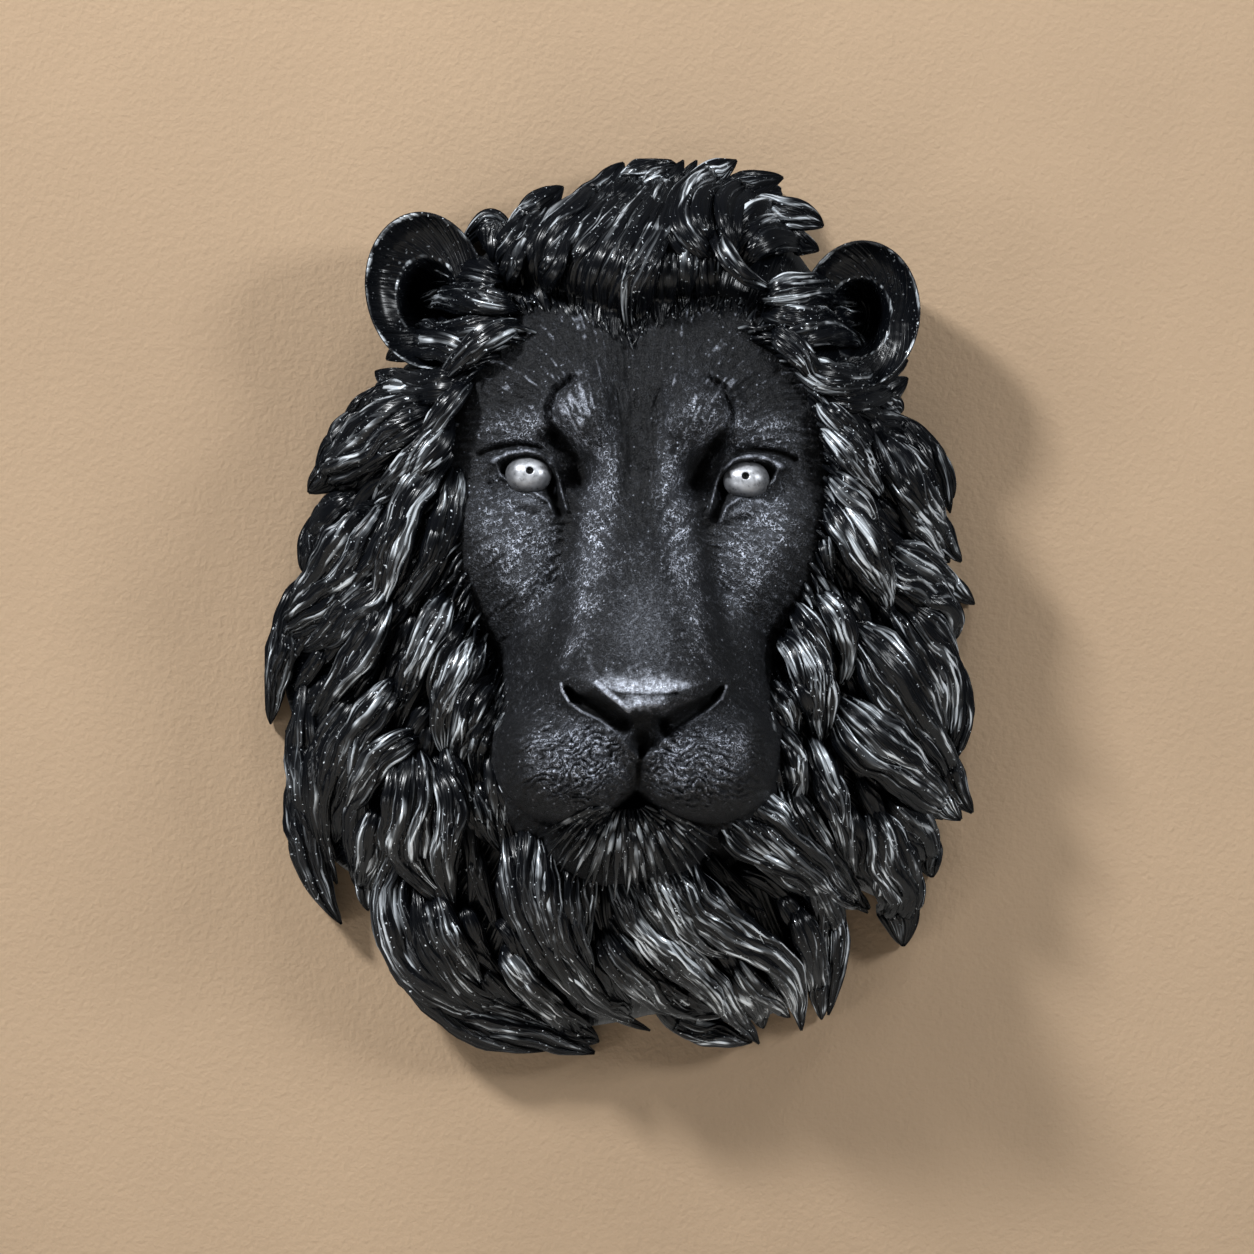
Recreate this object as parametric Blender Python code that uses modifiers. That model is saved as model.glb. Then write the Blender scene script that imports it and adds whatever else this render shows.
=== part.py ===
"""A lion head wall mask: one casting with a flat back that hangs against a wall, facing -Y.

The tables give places in millimetres as they look from straight in front at VIEW_DISTANCE, with x to the
right and z up from the middle of the back, and depth out from the wall. placed() turns them into real places.
"""

import math

import bmesh
import bpy
import numpy as np

MM = 0.001
VIEW_DISTANCE = 2200.0

# The casting's main sizes, in millimetres
NOSE_DEPTH = 152.0
MANE_RIM_DEPTH = 66.0
MANE_EDGE_DEPTH = 15.0
CREST_RISE = 20.0
BEHIND_WALL = -5.0
VOXEL = 1.6
TRIANGLES = 9450
SMALLEST_RING = 0.06

# Each eyeball's middle and half sizes, how far its front stands out, and how much higher the left one is
EYE = (49.5, 57)
EYE_RADII = (11.0, 8.5)
EYE_DEPTH = 88.0
EYE_TILT = 1.5

# How finely each form is made before the union
BED_SPOKES = 120
BED_RINGS = 30
FACE_STEP = 1.25
LOCK_STEPS = 12
LOCK_SIDES = 10
EAR_SPOKES = 36

# Where the mane ends and where the face ends, as (x, z) round the middle
MANE_OUTLINE = [
    (0, 184), (28, 189), (48, 180), (64, 166), (78, 148), (100, 110), (114, 80), (128, 60), (134, 38),
    (137, 18), (142, -2), (138, -20), (142, -45), (136, -72), (134, -95), (118, -138), (100, -130),
    (86, -146), (84, -168), (72, -182), (48, -190), (8, -186), (-22, -192), (-60, -184), (-95, -174),
    (-112, -150), (-116, -130), (-136, -118), (-150, -90), (-150, -65), (-158, -42), (-157, -20),
    (-148, 5), (-143, 28), (-134, 50), (-134, 65), (-122, 82), (-104, 100), (-84, 140), (-58, 164),
    (-40, 174), (-18, 180),
]
FACE_OUTLINE = [
    (0, 132), (40, 130), (62, 116), (80, 90), (87, 58), (86, 28), (79, 0), (68, -30), (62, -60),
    (56, -86), (42, -106), (26, -124), (0, -130), (-26, -128), (-42, -114), (-52, -98), (-60, -80),
    (-64, -50), (-72, -20), (-84, 10), (-89, 40), (-86, 70), (-76, 98), (-50, 122),
]

# Each lock of the mane: root x, root z, tip x, tip z, width, bow and wave as shares of its length, and lift.
# Bow is to the left of the way from root to tip, and lift is how far the lock stands above the mane's bed.
LOCKS_LEFT = [
    (-98, 95, -133, 81, 15, -0.16, 0, 6), (-116, 90, -145, 52, 16, -0.14, 0, 2),
    (-90, 85, -148, 48, 27, -0.05, 0, 12), (-84, 82, -120, 40, 15, 0.03, 0.02, 17),
    (-74, 99, -101, 60, 10, -0.05, 0, 17), (-86, 66, -123, -13, 16, -0.04, -0.03, 18),
    (-80, 62, -108, -7, 14, 0.07, 0, 13), (-124, 48, -151, 12, 20, -0.20, 0, 1),
    (-110, 43, -161, -18, 34, 0.03, 0, 11), (-147, 12, -165, -56, 15, -0.04, 0, 4),
    (-110, 13, -152, -23, 16, 0.06, 0, 11), (-112, 4, -149, -58, 15, 0.05, 0.02, 12),
    (-150, -38, -133, -146, 19, -0.09, 0.02, 5), (-122, -40, -135, -128, 15, -0.16, 0, 11),
    (-106, -36, -137, -98, 16, -0.09, 0, 14), (-97, -60, -131, -101, 15, -0.12, 0, 12),
    (-99, -66, -86, -137, 23, -0.15, 0.03, 15), (-92, -72, -82, -139, 14, 0.03, 0.05, 15),
    (-87, -62, -68, -110, 10, -0.04, 0, 8), (-106, -100, -19, -204, 22, -0.245, -0.03, 8),
    (-99, -126, -36, -191, 13, -0.21, 0, 11), (-92, -132, -68, -178, 15, -0.05, 0, 8),
    (-84, 3, -109, -52, 14, -0.02, 0, 17), (-77, -8, -90, -54, 8, -0.12, 0, 17),
    (-70, -18, -86, -72, 16, -0.12, 0, 17), (-64, -35, -80, -77, 13, -0.12, 0, 18),
    (-62, -46, -72, -82, 9, -0.10, 0, 18), (-63, -62, -59, -106, 10, -0.05, 0, 16),
    (-73, -80, -61, -114, 9, -0.05, 0, 6), (-118, -95, -124, -130, 14, -0.05, 0, 3),
    (-100, 95, -118, 96, 12, 0.05, 0, 10), (-44, -178, -17, -199, 15, -0.05, 0, 0),
]
LOCKS_BELOW = [
    (-58, -100, 6, -194, 15, -0.16, 0, 12), (-48, -94, -8, -190, 14, -0.13, 0, 15),
    (-41, -101, -14, -185, 11, -0.11, 0, 17), (-29, -111, -18, -179, 9, -0.07, 0, 14),
    (-60, -157, -28, -190, 14, -0.09, 0, 7), (0, -112, 43, -162, 21, -0.06, 0, 16),
    (-14, -114, 55, -200, 19, -0.03, -0.02, 11), (-16, -144, 42, -186, 17, -0.17, 0, 8),
    (8, -182, 52, -200, 15, -0.10, 0, 1), (18, -108, 74, -194, 18, 0.0, -0.08, 13),
    (44, -162, 69, -188, 10, -0.04, 0, 8), (42, -166, 57, -193, 13, 0.06, 0, 3),
    (32, -98, 86, -187, 17, 0.27, 0, 10), (69, -137, 83, -189, 13, 0.06, 0, 9),
    (31, -92, 91, -134, 15, -0.05, 0, 15), (42, -80, 105, -139, 24, -0.07, 0, 14),
    (64, -78, 104, -141, 14, -0.04, 0, 13), (77, -60, 99, -128, 11, 0.02, 0, 17),
    (-22, -112, -26, -168, 10, 0.0, 0, 10),
]
LOCKS_RIGHT = [
    (100, 83, 141, 39, 13, 0.18, 0, 4), (112, 72, 137, 37, 12, 0.06, 0, 3),
    (107, 76, 146, 17, 20, -0.03, 0, 13), (117, 46, 141, 17, 13, -0.04, 0, 8),
    (112, 25, 152, -2, 14, 0.02, 0, 7), (112, 15, 143, -4, 13, -0.06, 0, 7),
    (124, 5, 142, -19, 22, 0.10, 0, 0), (82, 88, 105, 65, 11, 0.03, 0, 16),
    (84, 77, 110, 46, 15, 0.05, 0, 18), (87, 56, 109, 30, 12, 0.05, 0, 17),
    (86, 44, 114, -6, 19, 0.06, 0, 18), (112, -3, 140, -50, 8, 0.03, 0, 15),
    (118, -2, 142, -73, 21, 0.13, 0, 4), (92, -10, 151, -96, 25, 0.03, 0.02, 14),
    (88, -45, 146, -99, 27, -0.02, 0, 13), (110, -90, 131, -126, 19, 0.05, 0, 2),
    (102, -94, 120, -156, 25, 0.06, 0, 1), (79, 4, 91, -40, 11, 0.20, 0, 17),
    (70, -2, 87, -36, 11, 0.06, 0, 15), (66, -14, 82, -66, 19, 0.11, 0, 18),
    (60, -36, 74, -62, 9, 0.03, 0, 15), (61, -56, 68, -98, 10, 0.17, 0, 18),
    (57, -70, 65, -92, 8, 0.05, 0, 14), (84, 28, 88, 10, 6, 0, 0, 14),
    (106, 92, 119, 84, 10, 0.1, 0, 4), (98, -12, 116, -36, 13, 0.05, 0, 9),
]
LOCKS_CREST = [
    (-12, 184, -47, 151, 13, -0.10, 0, 17), (-8, 186, -38, 147, 12, -0.08, 0, 20),
    (-2, 188, -26, 149, 12, -0.06, 0, 22), (5, 186, -12, 153, 13, -0.03, 0, 23),
    (10, 187, -4, 118, 11, -0.02, 0.03, 24), (12, 172, 11, 144, 11, 0.05, 0, 22),
    (20, 188, 19, 142, 12, -0.10, 0, 19), (22, 155, 44, 198, 15, 0.26, 0, 12),
    (28, 160, 45, 193, 14, 0.12, 0, 7), (31, 151, 63, 188, 14, 0.18, 0, 13),
    (40, 152, 63, 184, 11, 0.10, 0, 12), (44, 155, 81, 169, 15, 0.10, 0, 8),
    (50, 151, 79, 155, 11, 0.10, 0, 8), (40, 170, 64, 138, 9, -0.16, 0, 15),
    (27, 160, 24, 138, 10, 0, 0, 16), (34, 160, 37, 138, 10, -0.05, 0, 14),
    (-58, 140, -44, 168, 11, 0.05, 0, 8), (-60, 147, -75, 173, 11, -0.05, 0, 4),
    (-58, 150, -62, 176, 10, 0.05, 0, 6), (-40, 158, -54, 170, 12, 0, 0, 8),
    (-28, 165, -37, 184, 16, 0.05, 0, 4), (-16, 172, -9, 196, 15, 0.08, 0, 8),
    (0, 176, 14, 196, 22, 0.10, 0, 3), (-20, 176, -30, 140, 11, -0.05, 0, 16),
]
LOCKS_EARS = [
    (-62, 141, -100, 152, 12, -0.06, 0, 12), (-56, 134, -98, 131, 13, -0.08, 0, 14),
    (-58, 124, -93, 124, 12, 0.05, 0, 8), (-80, 108, -112, 107, 13, -0.17, 0, 9),
    (-82, 98, -117, 103, 15, 0.12, 0, 4), (-55, 122, -91, 96, 10, -0.06, 0, 14),
    (60, 134, 101, 130, 15, 0.06, 0, 14), (60, 126, 96, 120, 13, 0.04, 0, 8),
    (66, 112, 103, 110, 12, 0.10, 0, 10), (72, 106, 121, 107, 13, -0.10, 0, 9),
    (84, 97, 121, 101, 15, -0.16, 0, 3), (86, 139, 100, 137, 10, 0.10, 0, 6),
    (62, 118, 84, 90, 10, 0.08, 0, 13),
]
CHIN_TRESSES = 11
CHIN_ROOT = (-6, -95)
CHIN_REACH = 41
CHIN_WIDTH = 8.5


# The edge of the face that the short tufts follow, on its right side
FRINGE_EDGE = [(50, 122), (66, 110), (77, 98), (84, 84), (88, 60), (87, 35), (80, 8), (72, -15), (63, -36), (60, -55)]
FRINGE_TUFTS = 22
FRINGE_REACH = 13
FRINGE_WIDTH = 7.5

# Each ear: middle of the bowl's floor, middle of its rim, half width and half height of the rim, lean in degrees
EARS = [((-92, 131), (-95, 139), 27.5, 36.0, -10.0), ((99, 126), (100, 128), 27.5, 34.0, 8.0)]
# The bowl from its floor over the rim to the back, as (share of the rim's size, depth)
EAR_PROFILE = [
    (0.05, 20), (0.32, 22), (0.46, 38), (0.55, 41), (0.66, 37), (0.80, 39), (0.92, 46), (0.98, 48),
    (1.00, 44), (0.97, 34), (0.86, 22), (0.72, 10), (0.64, BEHIND_WALL),
]


def hump(x, z, middle, radii, foot, top, power=2.0):
    """Depth of a half ellipsoid that stands on foot and rises to top, falling away steeply outside it."""
    far = (np.abs((x - middle[0]) / radii[0]) ** power + np.abs((z - middle[1]) / radii[1]) ** power)
    inside = foot + (top - foot) * np.sqrt(np.clip(1 - far, 0, 1))
    outside = foot - 1.6 * min(radii) * (np.maximum(far, 1) ** (1 / power) - 1)
    return np.where(far < 1, inside, outside)


def merged(a, b, blend):
    """The greater of two depths, with a fillet about blend wide where they meet."""
    share = np.clip(0.5 + 0.5 * (a - b) / blend, 0, 1)
    return b + (a - b) * share + blend * share * (1 - share)


def swell(x, z, middle, radii, height):
    """A soft round rise, or a dip where height is negative."""
    return height * np.exp(-(((x - middle[0]) / radii[0]) ** 2) - ((z - middle[1]) / radii[1]) ** 2)


def stroke(x, z, points, width, height):
    """A ridge, or a groove where height is negative, along a line of (x, z) points."""
    nearest = np.full(x.shape, 1e9)
    for (ax, az), (bx, bz) in zip(points, points[1:]):
        dx, dz = bx - ax, bz - az
        along = np.clip(((x - ax) * dx + (z - az) * dz) / (dx * dx + dz * dz), 0, 1)
        nearest = np.minimum(nearest, np.hypot(x - ax - along * dx, z - az - along * dz))
    return height * np.exp(-((nearest / width) ** 2))


def skull_and_muzzle(x, z):
    """The big forms of the face: brow, cheeks, bridge of the nose, muzzle, lips and chin."""
    depth = hump(x, z, (0, 50), (97, 100), 38, 92, 2.5)
    for side in (-1, 1):
        depth = merged(depth, hump(x, z, (56 * side, 26), (33, 52), 52, 86), 14)
    heights = [-84, -70, -58, -46, -36, -15, 8, 32, 60, 95, 130]
    bridge_top = np.interp(z, heights, [104, 131, 142, 148, 146, 135, 120, 105, 94, 84, 45])
    bridge_half = np.interp(z, heights, [8, 10, 21, 34, 37, 34, 29, 23, 17, 14, 14])
    squareness = np.interp(z, [-40, 0, 30], [5, 4, 3])
    bridge = bridge_top - 17 * np.abs(x / bridge_half) ** squareness
    depth = merged(depth, np.maximum(bridge, 30), 9)
    depth = merged(depth, hump(x, z, (0, -46), (62, 60), 56, 122, 2.5), 12)
    for side in (-1, 1):
        pad = hump(x, z, (28 * side, -71), (35, 31), 88, 139, 2.2)
        depth = merged(depth, pad, 9)
    return merged(depth, hump(x, z, (-5, -104), (38, 25), 70, 107, 2.3), 4)


def brow_and_eyes(x, z):
    """What the brows, sockets and lids add to the big forms."""
    depth = stroke(x, z, [(-2, 124), (-1, 58)], 6.5, -4.0)
    for side in (-1, 1):
        tilt = -EYE_TILT * side
        depth += stroke(x, z, [(19 * side, 96), (14 * side, 66), (13 * side, 48), (22 * side, 32), (30 * side, 12)], 7, 3.5)
        depth += swell(x, z, (28 * side, 86), (13, 14), 6)
        depth += stroke(x, z, [(38 * side, 99), (44 * side, 88), (42 * side, 75)], 2.4, -2.5)
        depth += swell(x, z, (31 * side, 66 + tilt), (8, 7), -13)
        depth += swell(x, z, (50 * side, 55 + tilt), (22, 14), -9)
        lid = [(70, 61), (62, 67), (50, 69), (42, 65), (37, 57)]
        depth += stroke(x, z, [(a * side, b + tilt) for a, b in lid], 3.2, 8)
        lower_lid = [(66, 58), (60, 49), (50, 45), (41, 48)]
        depth += stroke(x, z, [(a * side, b + tilt) for a, b in lower_lid], 3, 6)
        depth += stroke(x, z, [(40 * side, 54), (36 * side, 46), (34 * side, 38)], 2.6, -5)
        depth += stroke(x, z, [(34 * side, 50), (31 * side, 28), (37 * side, 6), (38 * side, -14)], 6.5, -6)
        depth += stroke(x, z, [(77 * side, 38), (62 * side, 20), (49 * side, 0), (45 * side, -16)], 9, 4)
        depth += swell(x, z, (69 * side, -14), (12, 28), -7)
    return depth


def nose_and_mouth(x, z):
    """What the nose leather, nostrils, lips and mouth line add."""
    depth = swell(x, z, (1, -42), (22, 9), 8)
    depth += swell(x, z, (1, -58), (10, 12), 8)
    for side in (-1, 1):
        nostril = [(33 * side + 1, -41), (24 * side + 1, -46), (14 * side + 1, -52), (9 * side + 1, -58)]
        depth += stroke(x, z, nostril, 4.6, -15)
        wing = [(38 * side + 1, -38), (34 * side + 1, -47), (22 * side + 1, -55), (9 * side + 1, -64)]
        depth += stroke(x, z, wing, 2.6, 4.5)
        lip = [(0, -88), (12 * side, -98), (31 * side, -102), (47 * side, -97), (56 * side, -84)]
        depth += stroke(x, z, lip, 3.4, -7)
    depth += stroke(x, z, [(1, -70), (1, -88)], 2.6, -8)
    return depth + swell(x, z, (0, -93), (8, 5), -12)


def face_depth(x, z):
    depth = skull_and_muzzle(x, z) + brow_and_eyes(x, z) + nose_and_mouth(x, z)
    for side in (-1, 1):
        eyeball = hump(x, z, (EYE[0] * side, EYE[1] - EYE_TILT * side), EYE_RADII, EYE_DEPTH - 11, EYE_DEPTH)
        depth = merged(depth, eyeball, 0.8)
    return np.minimum(depth, NOSE_DEPTH)


def reach(outline, angle):
    """How far an outline lies from the middle at each angle."""
    corners = np.array(outline, float)
    angles = np.arctan2(corners[:, 1], corners[:, 0])
    order = np.argsort(angles)
    return np.interp(angle, angles[order], np.hypot(*corners[order].T), period=2 * math.pi)


def bed_depth(x, z):
    """Depth of the mane's bed, which falls from the face's rim to the mane's edge."""
    angle = np.arctan2(z, x)
    inner, outer = reach(FACE_OUTLINE, angle), reach(MANE_OUTLINE, angle)
    share = np.clip((np.hypot(x, z) - inner) / (outer - inner), 0, 1)
    depth = MANE_EDGE_DEPTH + (MANE_RIM_DEPTH - MANE_EDGE_DEPTH) * (1 - share**2) ** 0.75
    return depth + swell(x, z, (6, 152), (52, 22), CREST_RISE)


def placed(rings):
    """Real places in metres of (x, depth, z) points as they look from VIEW_DISTANCE."""
    nearer = (VIEW_DISTANCE - rings[..., 1]) / VIEW_DISTANCE
    return np.stack([rings[..., 0] * nearer, -rings[..., 1], rings[..., 2] * nearer], -1) * MM


def loft(shape, rings):
    """Adds a closed loft through equal rings of points to a bmesh."""
    rows = [[shape.verts.new(point) for point in ring] for ring in placed(np.asarray(rings, float))]
    count = len(rows[0])
    for lower, upper in zip(rows, rows[1:]):
        for i in range(count):
            j = (i + 1) % count
            shape.faces.new((lower[i], lower[j], upper[j], upper[i]))
    shape.faces.new(rows[0][::-1])
    shape.faces.new(rows[-1])


def mane_bed(shape):
    """The ground that the locks lie on, from its top down to behind the wall's plane."""
    angle = np.linspace(0, 2 * math.pi, BED_SPOKES, endpoint=False)
    outer = reach(MANE_OUTLINE, (angle + math.pi) % (2 * math.pi) - math.pi)
    rings = [np.stack([outer * np.cos(angle), np.full(BED_SPOKES, BEHIND_WALL), outer * np.sin(angle)], -1)]
    for share in np.linspace(1, 0.02, BED_RINGS):
        x, z = share * outer * np.cos(angle), share * outer * np.sin(angle)
        rings.append(np.stack([x, bed_depth(x, z), z], -1))
    loft(shape, rings)


def face_relief(shape):
    """The face as a grid pushed out to its depth, closed behind."""
    low, high = np.array([-100, -140]), np.array([100, 145])
    across, up = ((high - low) / FACE_STEP).astype(int)
    grid = bmesh.ops.create_grid(shape, x_segments=across, y_segments=up, size=0.5)["verts"]
    flat = np.array([v.co[:2] for v in grid]) + 0.5
    x, z = (low + flat * (high - low)).T
    angle = np.arctan2(z, x)
    beyond = np.hypot(x, z) / reach(FACE_OUTLINE, angle)
    depth = face_depth(x, z) - 140 * np.clip(beyond - 1.02, 0, 1)
    depth = np.maximum(depth, 8)
    for vert, place in zip(grid, placed(np.stack([x, depth, z], -1))):
        vert.co = place
    faces = list({face for vert in grid for face in vert.link_faces})
    back = bmesh.ops.extrude_face_region(shape, geom=faces, use_keep_orig=True)["geom"]
    for vert in (item for item in back if isinstance(item, bmesh.types.BMVert)):
        vert.co.y = -2 * MM


def lock_rings(row, steps=LOCK_STEPS, sides=LOCK_SIDES):
    """The sections of one lock from root to tip, as (x, depth, z) points."""
    root_x, root_z, tip_x, tip_z, width, bow, wave, lift = row
    u = np.linspace(0, 1, steps)
    dx, dz = tip_x - root_x, tip_z - root_z
    aside = bow * 4 * u * (1 - u) + wave * np.sin(2 * math.pi * u)
    x, z = root_x + dx * u - dz * aside, root_z + dz * u + dx * aside
    rise = np.sin(math.pi * np.clip(u, 0, 1) ** 0.8)
    depth = bed_depth(x, z) + lift * (0.35 + 0.65 * rise) - 3 * u
    line = np.stack([x, -depth, z], -1)
    ahead = np.gradient(line, axis=0)
    ahead /= np.linalg.norm(ahead, axis=1, keepdims=True)
    out = outward(x, z)
    across = np.cross(ahead, out)
    across /= np.linalg.norm(across, axis=1, keepdims=True)
    out = np.cross(across, ahead)
    size = (0.62 + 0.38 * np.minimum(1, u / 0.3)) * np.maximum(1 - u**2.4, SMALLEST_RING) ** 0.75
    half, thick = size * width / 2, size * width * 0.42
    turn = 2 * math.pi * (np.arange(sides) + 0.5) / sides
    up = np.where(np.sin(turn) > 0, np.sin(turn), 0.75 * np.sin(turn))
    points = (
        line[:, None]
        + across[:, None] * (half[:, None] * np.cos(turn))[..., None]
        + out[:, None] * (thick[:, None] * up)[..., None]
    )
    rings = np.stack([points[..., 0], -points[..., 1], points[..., 2]], -1)
    if lift < 10:
        rings[:, up < 0, 1] = BEHIND_WALL
    rings[..., 1] = np.maximum(rings[..., 1], BEHIND_WALL)
    return rings[:, ::-1]


def outward(x, z):
    """The way that the mane's surface faces, eased towards straight out."""
    step = 6.0
    slope_x = (bed_depth(x + step, z) - bed_depth(x - step, z)) / (2 * step)
    slope_z = (bed_depth(x, z + step) - bed_depth(x, z - step)) / (2 * step)
    facing = np.stack([-0.6 * slope_x, -np.ones_like(x), -0.6 * slope_z], -1)
    return facing / np.linalg.norm(facing, axis=1, keepdims=True)


def ear_rings(floor, rim, half_width, half_height, lean):
    """An ear's bowl as rings from its floor over the rim to the wall."""
    turn = np.linspace(0, 2 * math.pi, EAR_SPOKES, endpoint=False)
    lean = math.radians(lean)
    rings = []
    for share, depth in EAR_PROFILE:
        a, b = share * half_width * np.cos(turn), share * half_height * np.sin(turn)
        x = floor[0] + (rim[0] - floor[0]) * share + a * math.cos(lean) + b * math.sin(lean)
        z = floor[1] + (rim[1] - floor[1]) * share - a * math.sin(lean) + b * math.cos(lean)
        rings.append(np.stack([x, np.full_like(x, depth), z], -1))
    return np.array(rings[::-1])


def chin_rows():
    """The tuft under the mouth as a fan of short locks."""
    for i in range(CHIN_TRESSES):
        angle = math.radians(-160 + 140 * i / (CHIN_TRESSES - 1))
        tip = (CHIN_ROOT[0] + CHIN_REACH * 1.17 * math.cos(angle), CHIN_ROOT[1] + CHIN_REACH * math.sin(angle))
        root = (CHIN_ROOT[0] + 14 * math.cos(angle), CHIN_ROOT[1] + 6 * math.sin(angle))
        yield root, tip


def chin_rings(root, tip, steps=7, sides=8):
    """One lock of the chin's tuft, which follows the chin's own curve."""
    u = np.linspace(0, 1, steps)
    x, z = root[0] + (tip[0] - root[0]) * u, root[1] + (tip[1] - root[1]) * u
    depth = 111 - 17 * u**2.2
    size = np.maximum(1 - u**3, 0.3) * CHIN_WIDTH / 2
    along = np.array([tip[0] - root[0], tip[1] - root[1]])
    along = along / np.hypot(*along)
    turn = 2 * math.pi * np.arange(sides) / sides
    wide, deep = size[:, None] * np.cos(turn), 1.5 * size[:, None] * np.sin(turn)
    return np.stack([x[:, None] - along[1] * wide, depth[:, None] + deep, z[:, None] + along[0] * wide], -1)


def fringe_rows():
    """Short tufts down both edges of the face, as (root, tip) from the brow's corner to the lips."""
    corners = np.array(FRINGE_EDGE, float)
    run = np.concatenate([[0], np.cumsum(np.hypot(*np.diff(corners, axis=0).T))])
    for i in range(FRINGE_TUFTS):
        share = (i + 0.5) / FRINGE_TUFTS
        x, z = (np.interp(share * run[-1], run, corners[:, k]) for k in (0, 1))
        turn = math.radians(np.interp(share, [0, 0.25, 1], [5, -42, -72]))
        for side in (-1, 1):
            root = (side * x - side * 5 * math.cos(turn), z - 5 * math.sin(turn))
            tip = (side * x + side * FRINGE_REACH * math.cos(turn), z + FRINGE_REACH * math.sin(turn))
            yield root, tip


def fringe_rings(root, tip, steps=6, sides=8):
    """One tuft that leaves the face and lies down on the mane."""
    u = np.linspace(0, 1, steps)
    x, z = root[0] + (tip[0] - root[0]) * u, root[1] + (tip[1] - root[1]) * u
    depth = (1 - u) * face_depth(x, z)[0] + u * (bed_depth(x, z) + 9) + 3 * np.sin(math.pi * u)
    size = np.maximum(1 - u**3, 0.2) * FRINGE_WIDTH / 2
    along = np.array([tip[0] - root[0], tip[1] - root[1]])
    along = along / np.hypot(*along)
    turn = 2 * math.pi * np.arange(sides) / sides
    wide, deep = size[:, None] * np.cos(turn), 1.3 * size[:, None] * np.sin(turn)
    return np.stack([x[:, None] - along[1] * wide, depth[:, None] + deep, z[:, None] + along[0] * wide], -1)


def largest_body(shape):
    """Removes every loose piece but the largest, which also fills the sealed gaps between locks."""
    left, groups = set(shape.verts), []
    while left:
        group, edge = set(), [left.pop()]
        while edge:
            vert = edge.pop()
            group.add(vert)
            for link in vert.link_edges:
                other = link.other_vert(vert)
                if other in left:
                    left.discard(other)
                    edge.append(other)
        groups.append(group)
    groups.sort(key=len)
    for group in groups[:-1]:
        bmesh.ops.delete(shape, geom=list(group), context="VERTS")


def cut_flat(shape):
    """Cuts the casting off at the wall's plane and closes its back."""
    everything = shape.verts[:] + shape.edges[:] + shape.faces[:]
    bmesh.ops.bisect_plane(shape, geom=everything, plane_co=(0, 0, 0), plane_no=(0, 1, 0), clear_outer=True, dist=1e-6)
    open_edges = [edge for edge in shape.edges if edge.is_boundary]
    bmesh.ops.holes_fill(shape, edges=open_edges)
    bmesh.ops.triangulate(shape, faces=shape.faces[:])


def with_modifier(head, kind, settings):
    """Puts one modifier's result in place of the object's mesh, and gives that mesh as a bmesh."""
    modifier = head.modifiers.new(kind.lower(), kind)
    for name, value in settings.items():
        setattr(modifier, name, value)
    graph = bpy.context.evaluated_depsgraph_get()
    head.data = bpy.data.meshes.new_from_object(head.evaluated_get(graph))
    head.modifiers.clear()
    shape = bmesh.new()
    shape.from_mesh(head.data)
    return shape


def black_resin():
    material = bpy.data.materials.new("black_resin")
    material.use_nodes = True
    shader = material.node_tree.nodes["Principled BSDF"]
    shader.inputs["Base Color"].default_value = (0.018, 0.018, 0.021, 1)
    shader.inputs["Roughness"].default_value = 0.36
    shader.inputs["Metallic"].default_value = 0.0
    return material


def lion_head(collection):
    """The whole casting: every form joined in one skin, thinned to few faces and cut flat behind."""
    shape = bmesh.new()
    mane_bed(shape)
    face_relief(shape)
    for ear in EARS:
        loft(shape, ear_rings(*ear))
    for row in LOCKS_LEFT + LOCKS_BELOW + LOCKS_RIGHT + LOCKS_CREST + LOCKS_EARS:
        loft(shape, lock_rings(row))
    for root, tip in chin_rows():
        loft(shape, chin_rings(root, tip))
    for root, tip in fringe_rows():
        loft(shape, fringe_rings(root, tip))
    bmesh.ops.recalc_face_normals(shape, faces=shape.faces[:])
    mesh = bpy.data.meshes.new("lion_head")
    shape.to_mesh(mesh)
    shape.free()
    head = bpy.data.objects.new("lion_head", mesh)
    collection.objects.link(head)

    shape = with_modifier(head, "REMESH", {"mode": "VOXEL", "voxel_size": VOXEL * MM})
    largest_body(shape)
    triangles = sum(len(face.verts) - 2 for face in shape.faces)
    shape.to_mesh(head.data)
    shape.free()
    shape = with_modifier(head, "DECIMATE", {"ratio": TRIANGLES / triangles})
    cut_flat(shape)
    largest_body(shape)
    shape.to_mesh(head.data)
    shape.free()
    head.data.materials.append(black_resin())
    return head


def main():
    for obj in list(bpy.data.objects):
        bpy.data.objects.remove(obj)
    collection = bpy.data.collections.new("lion head wall mask")
    bpy.context.scene.collection.children.link(collection)
    head = lion_head(collection)
    head.data.shade_smooth()


main()
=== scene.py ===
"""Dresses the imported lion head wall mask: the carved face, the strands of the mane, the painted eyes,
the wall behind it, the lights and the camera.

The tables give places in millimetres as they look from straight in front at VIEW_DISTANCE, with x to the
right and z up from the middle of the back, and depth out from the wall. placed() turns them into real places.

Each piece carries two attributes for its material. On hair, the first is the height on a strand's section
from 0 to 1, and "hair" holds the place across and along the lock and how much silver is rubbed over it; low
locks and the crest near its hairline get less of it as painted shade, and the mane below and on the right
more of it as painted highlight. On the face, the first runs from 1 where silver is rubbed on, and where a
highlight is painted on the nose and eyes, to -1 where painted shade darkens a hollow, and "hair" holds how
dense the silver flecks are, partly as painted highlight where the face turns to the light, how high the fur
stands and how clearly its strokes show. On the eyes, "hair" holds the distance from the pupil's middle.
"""

import math

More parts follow.
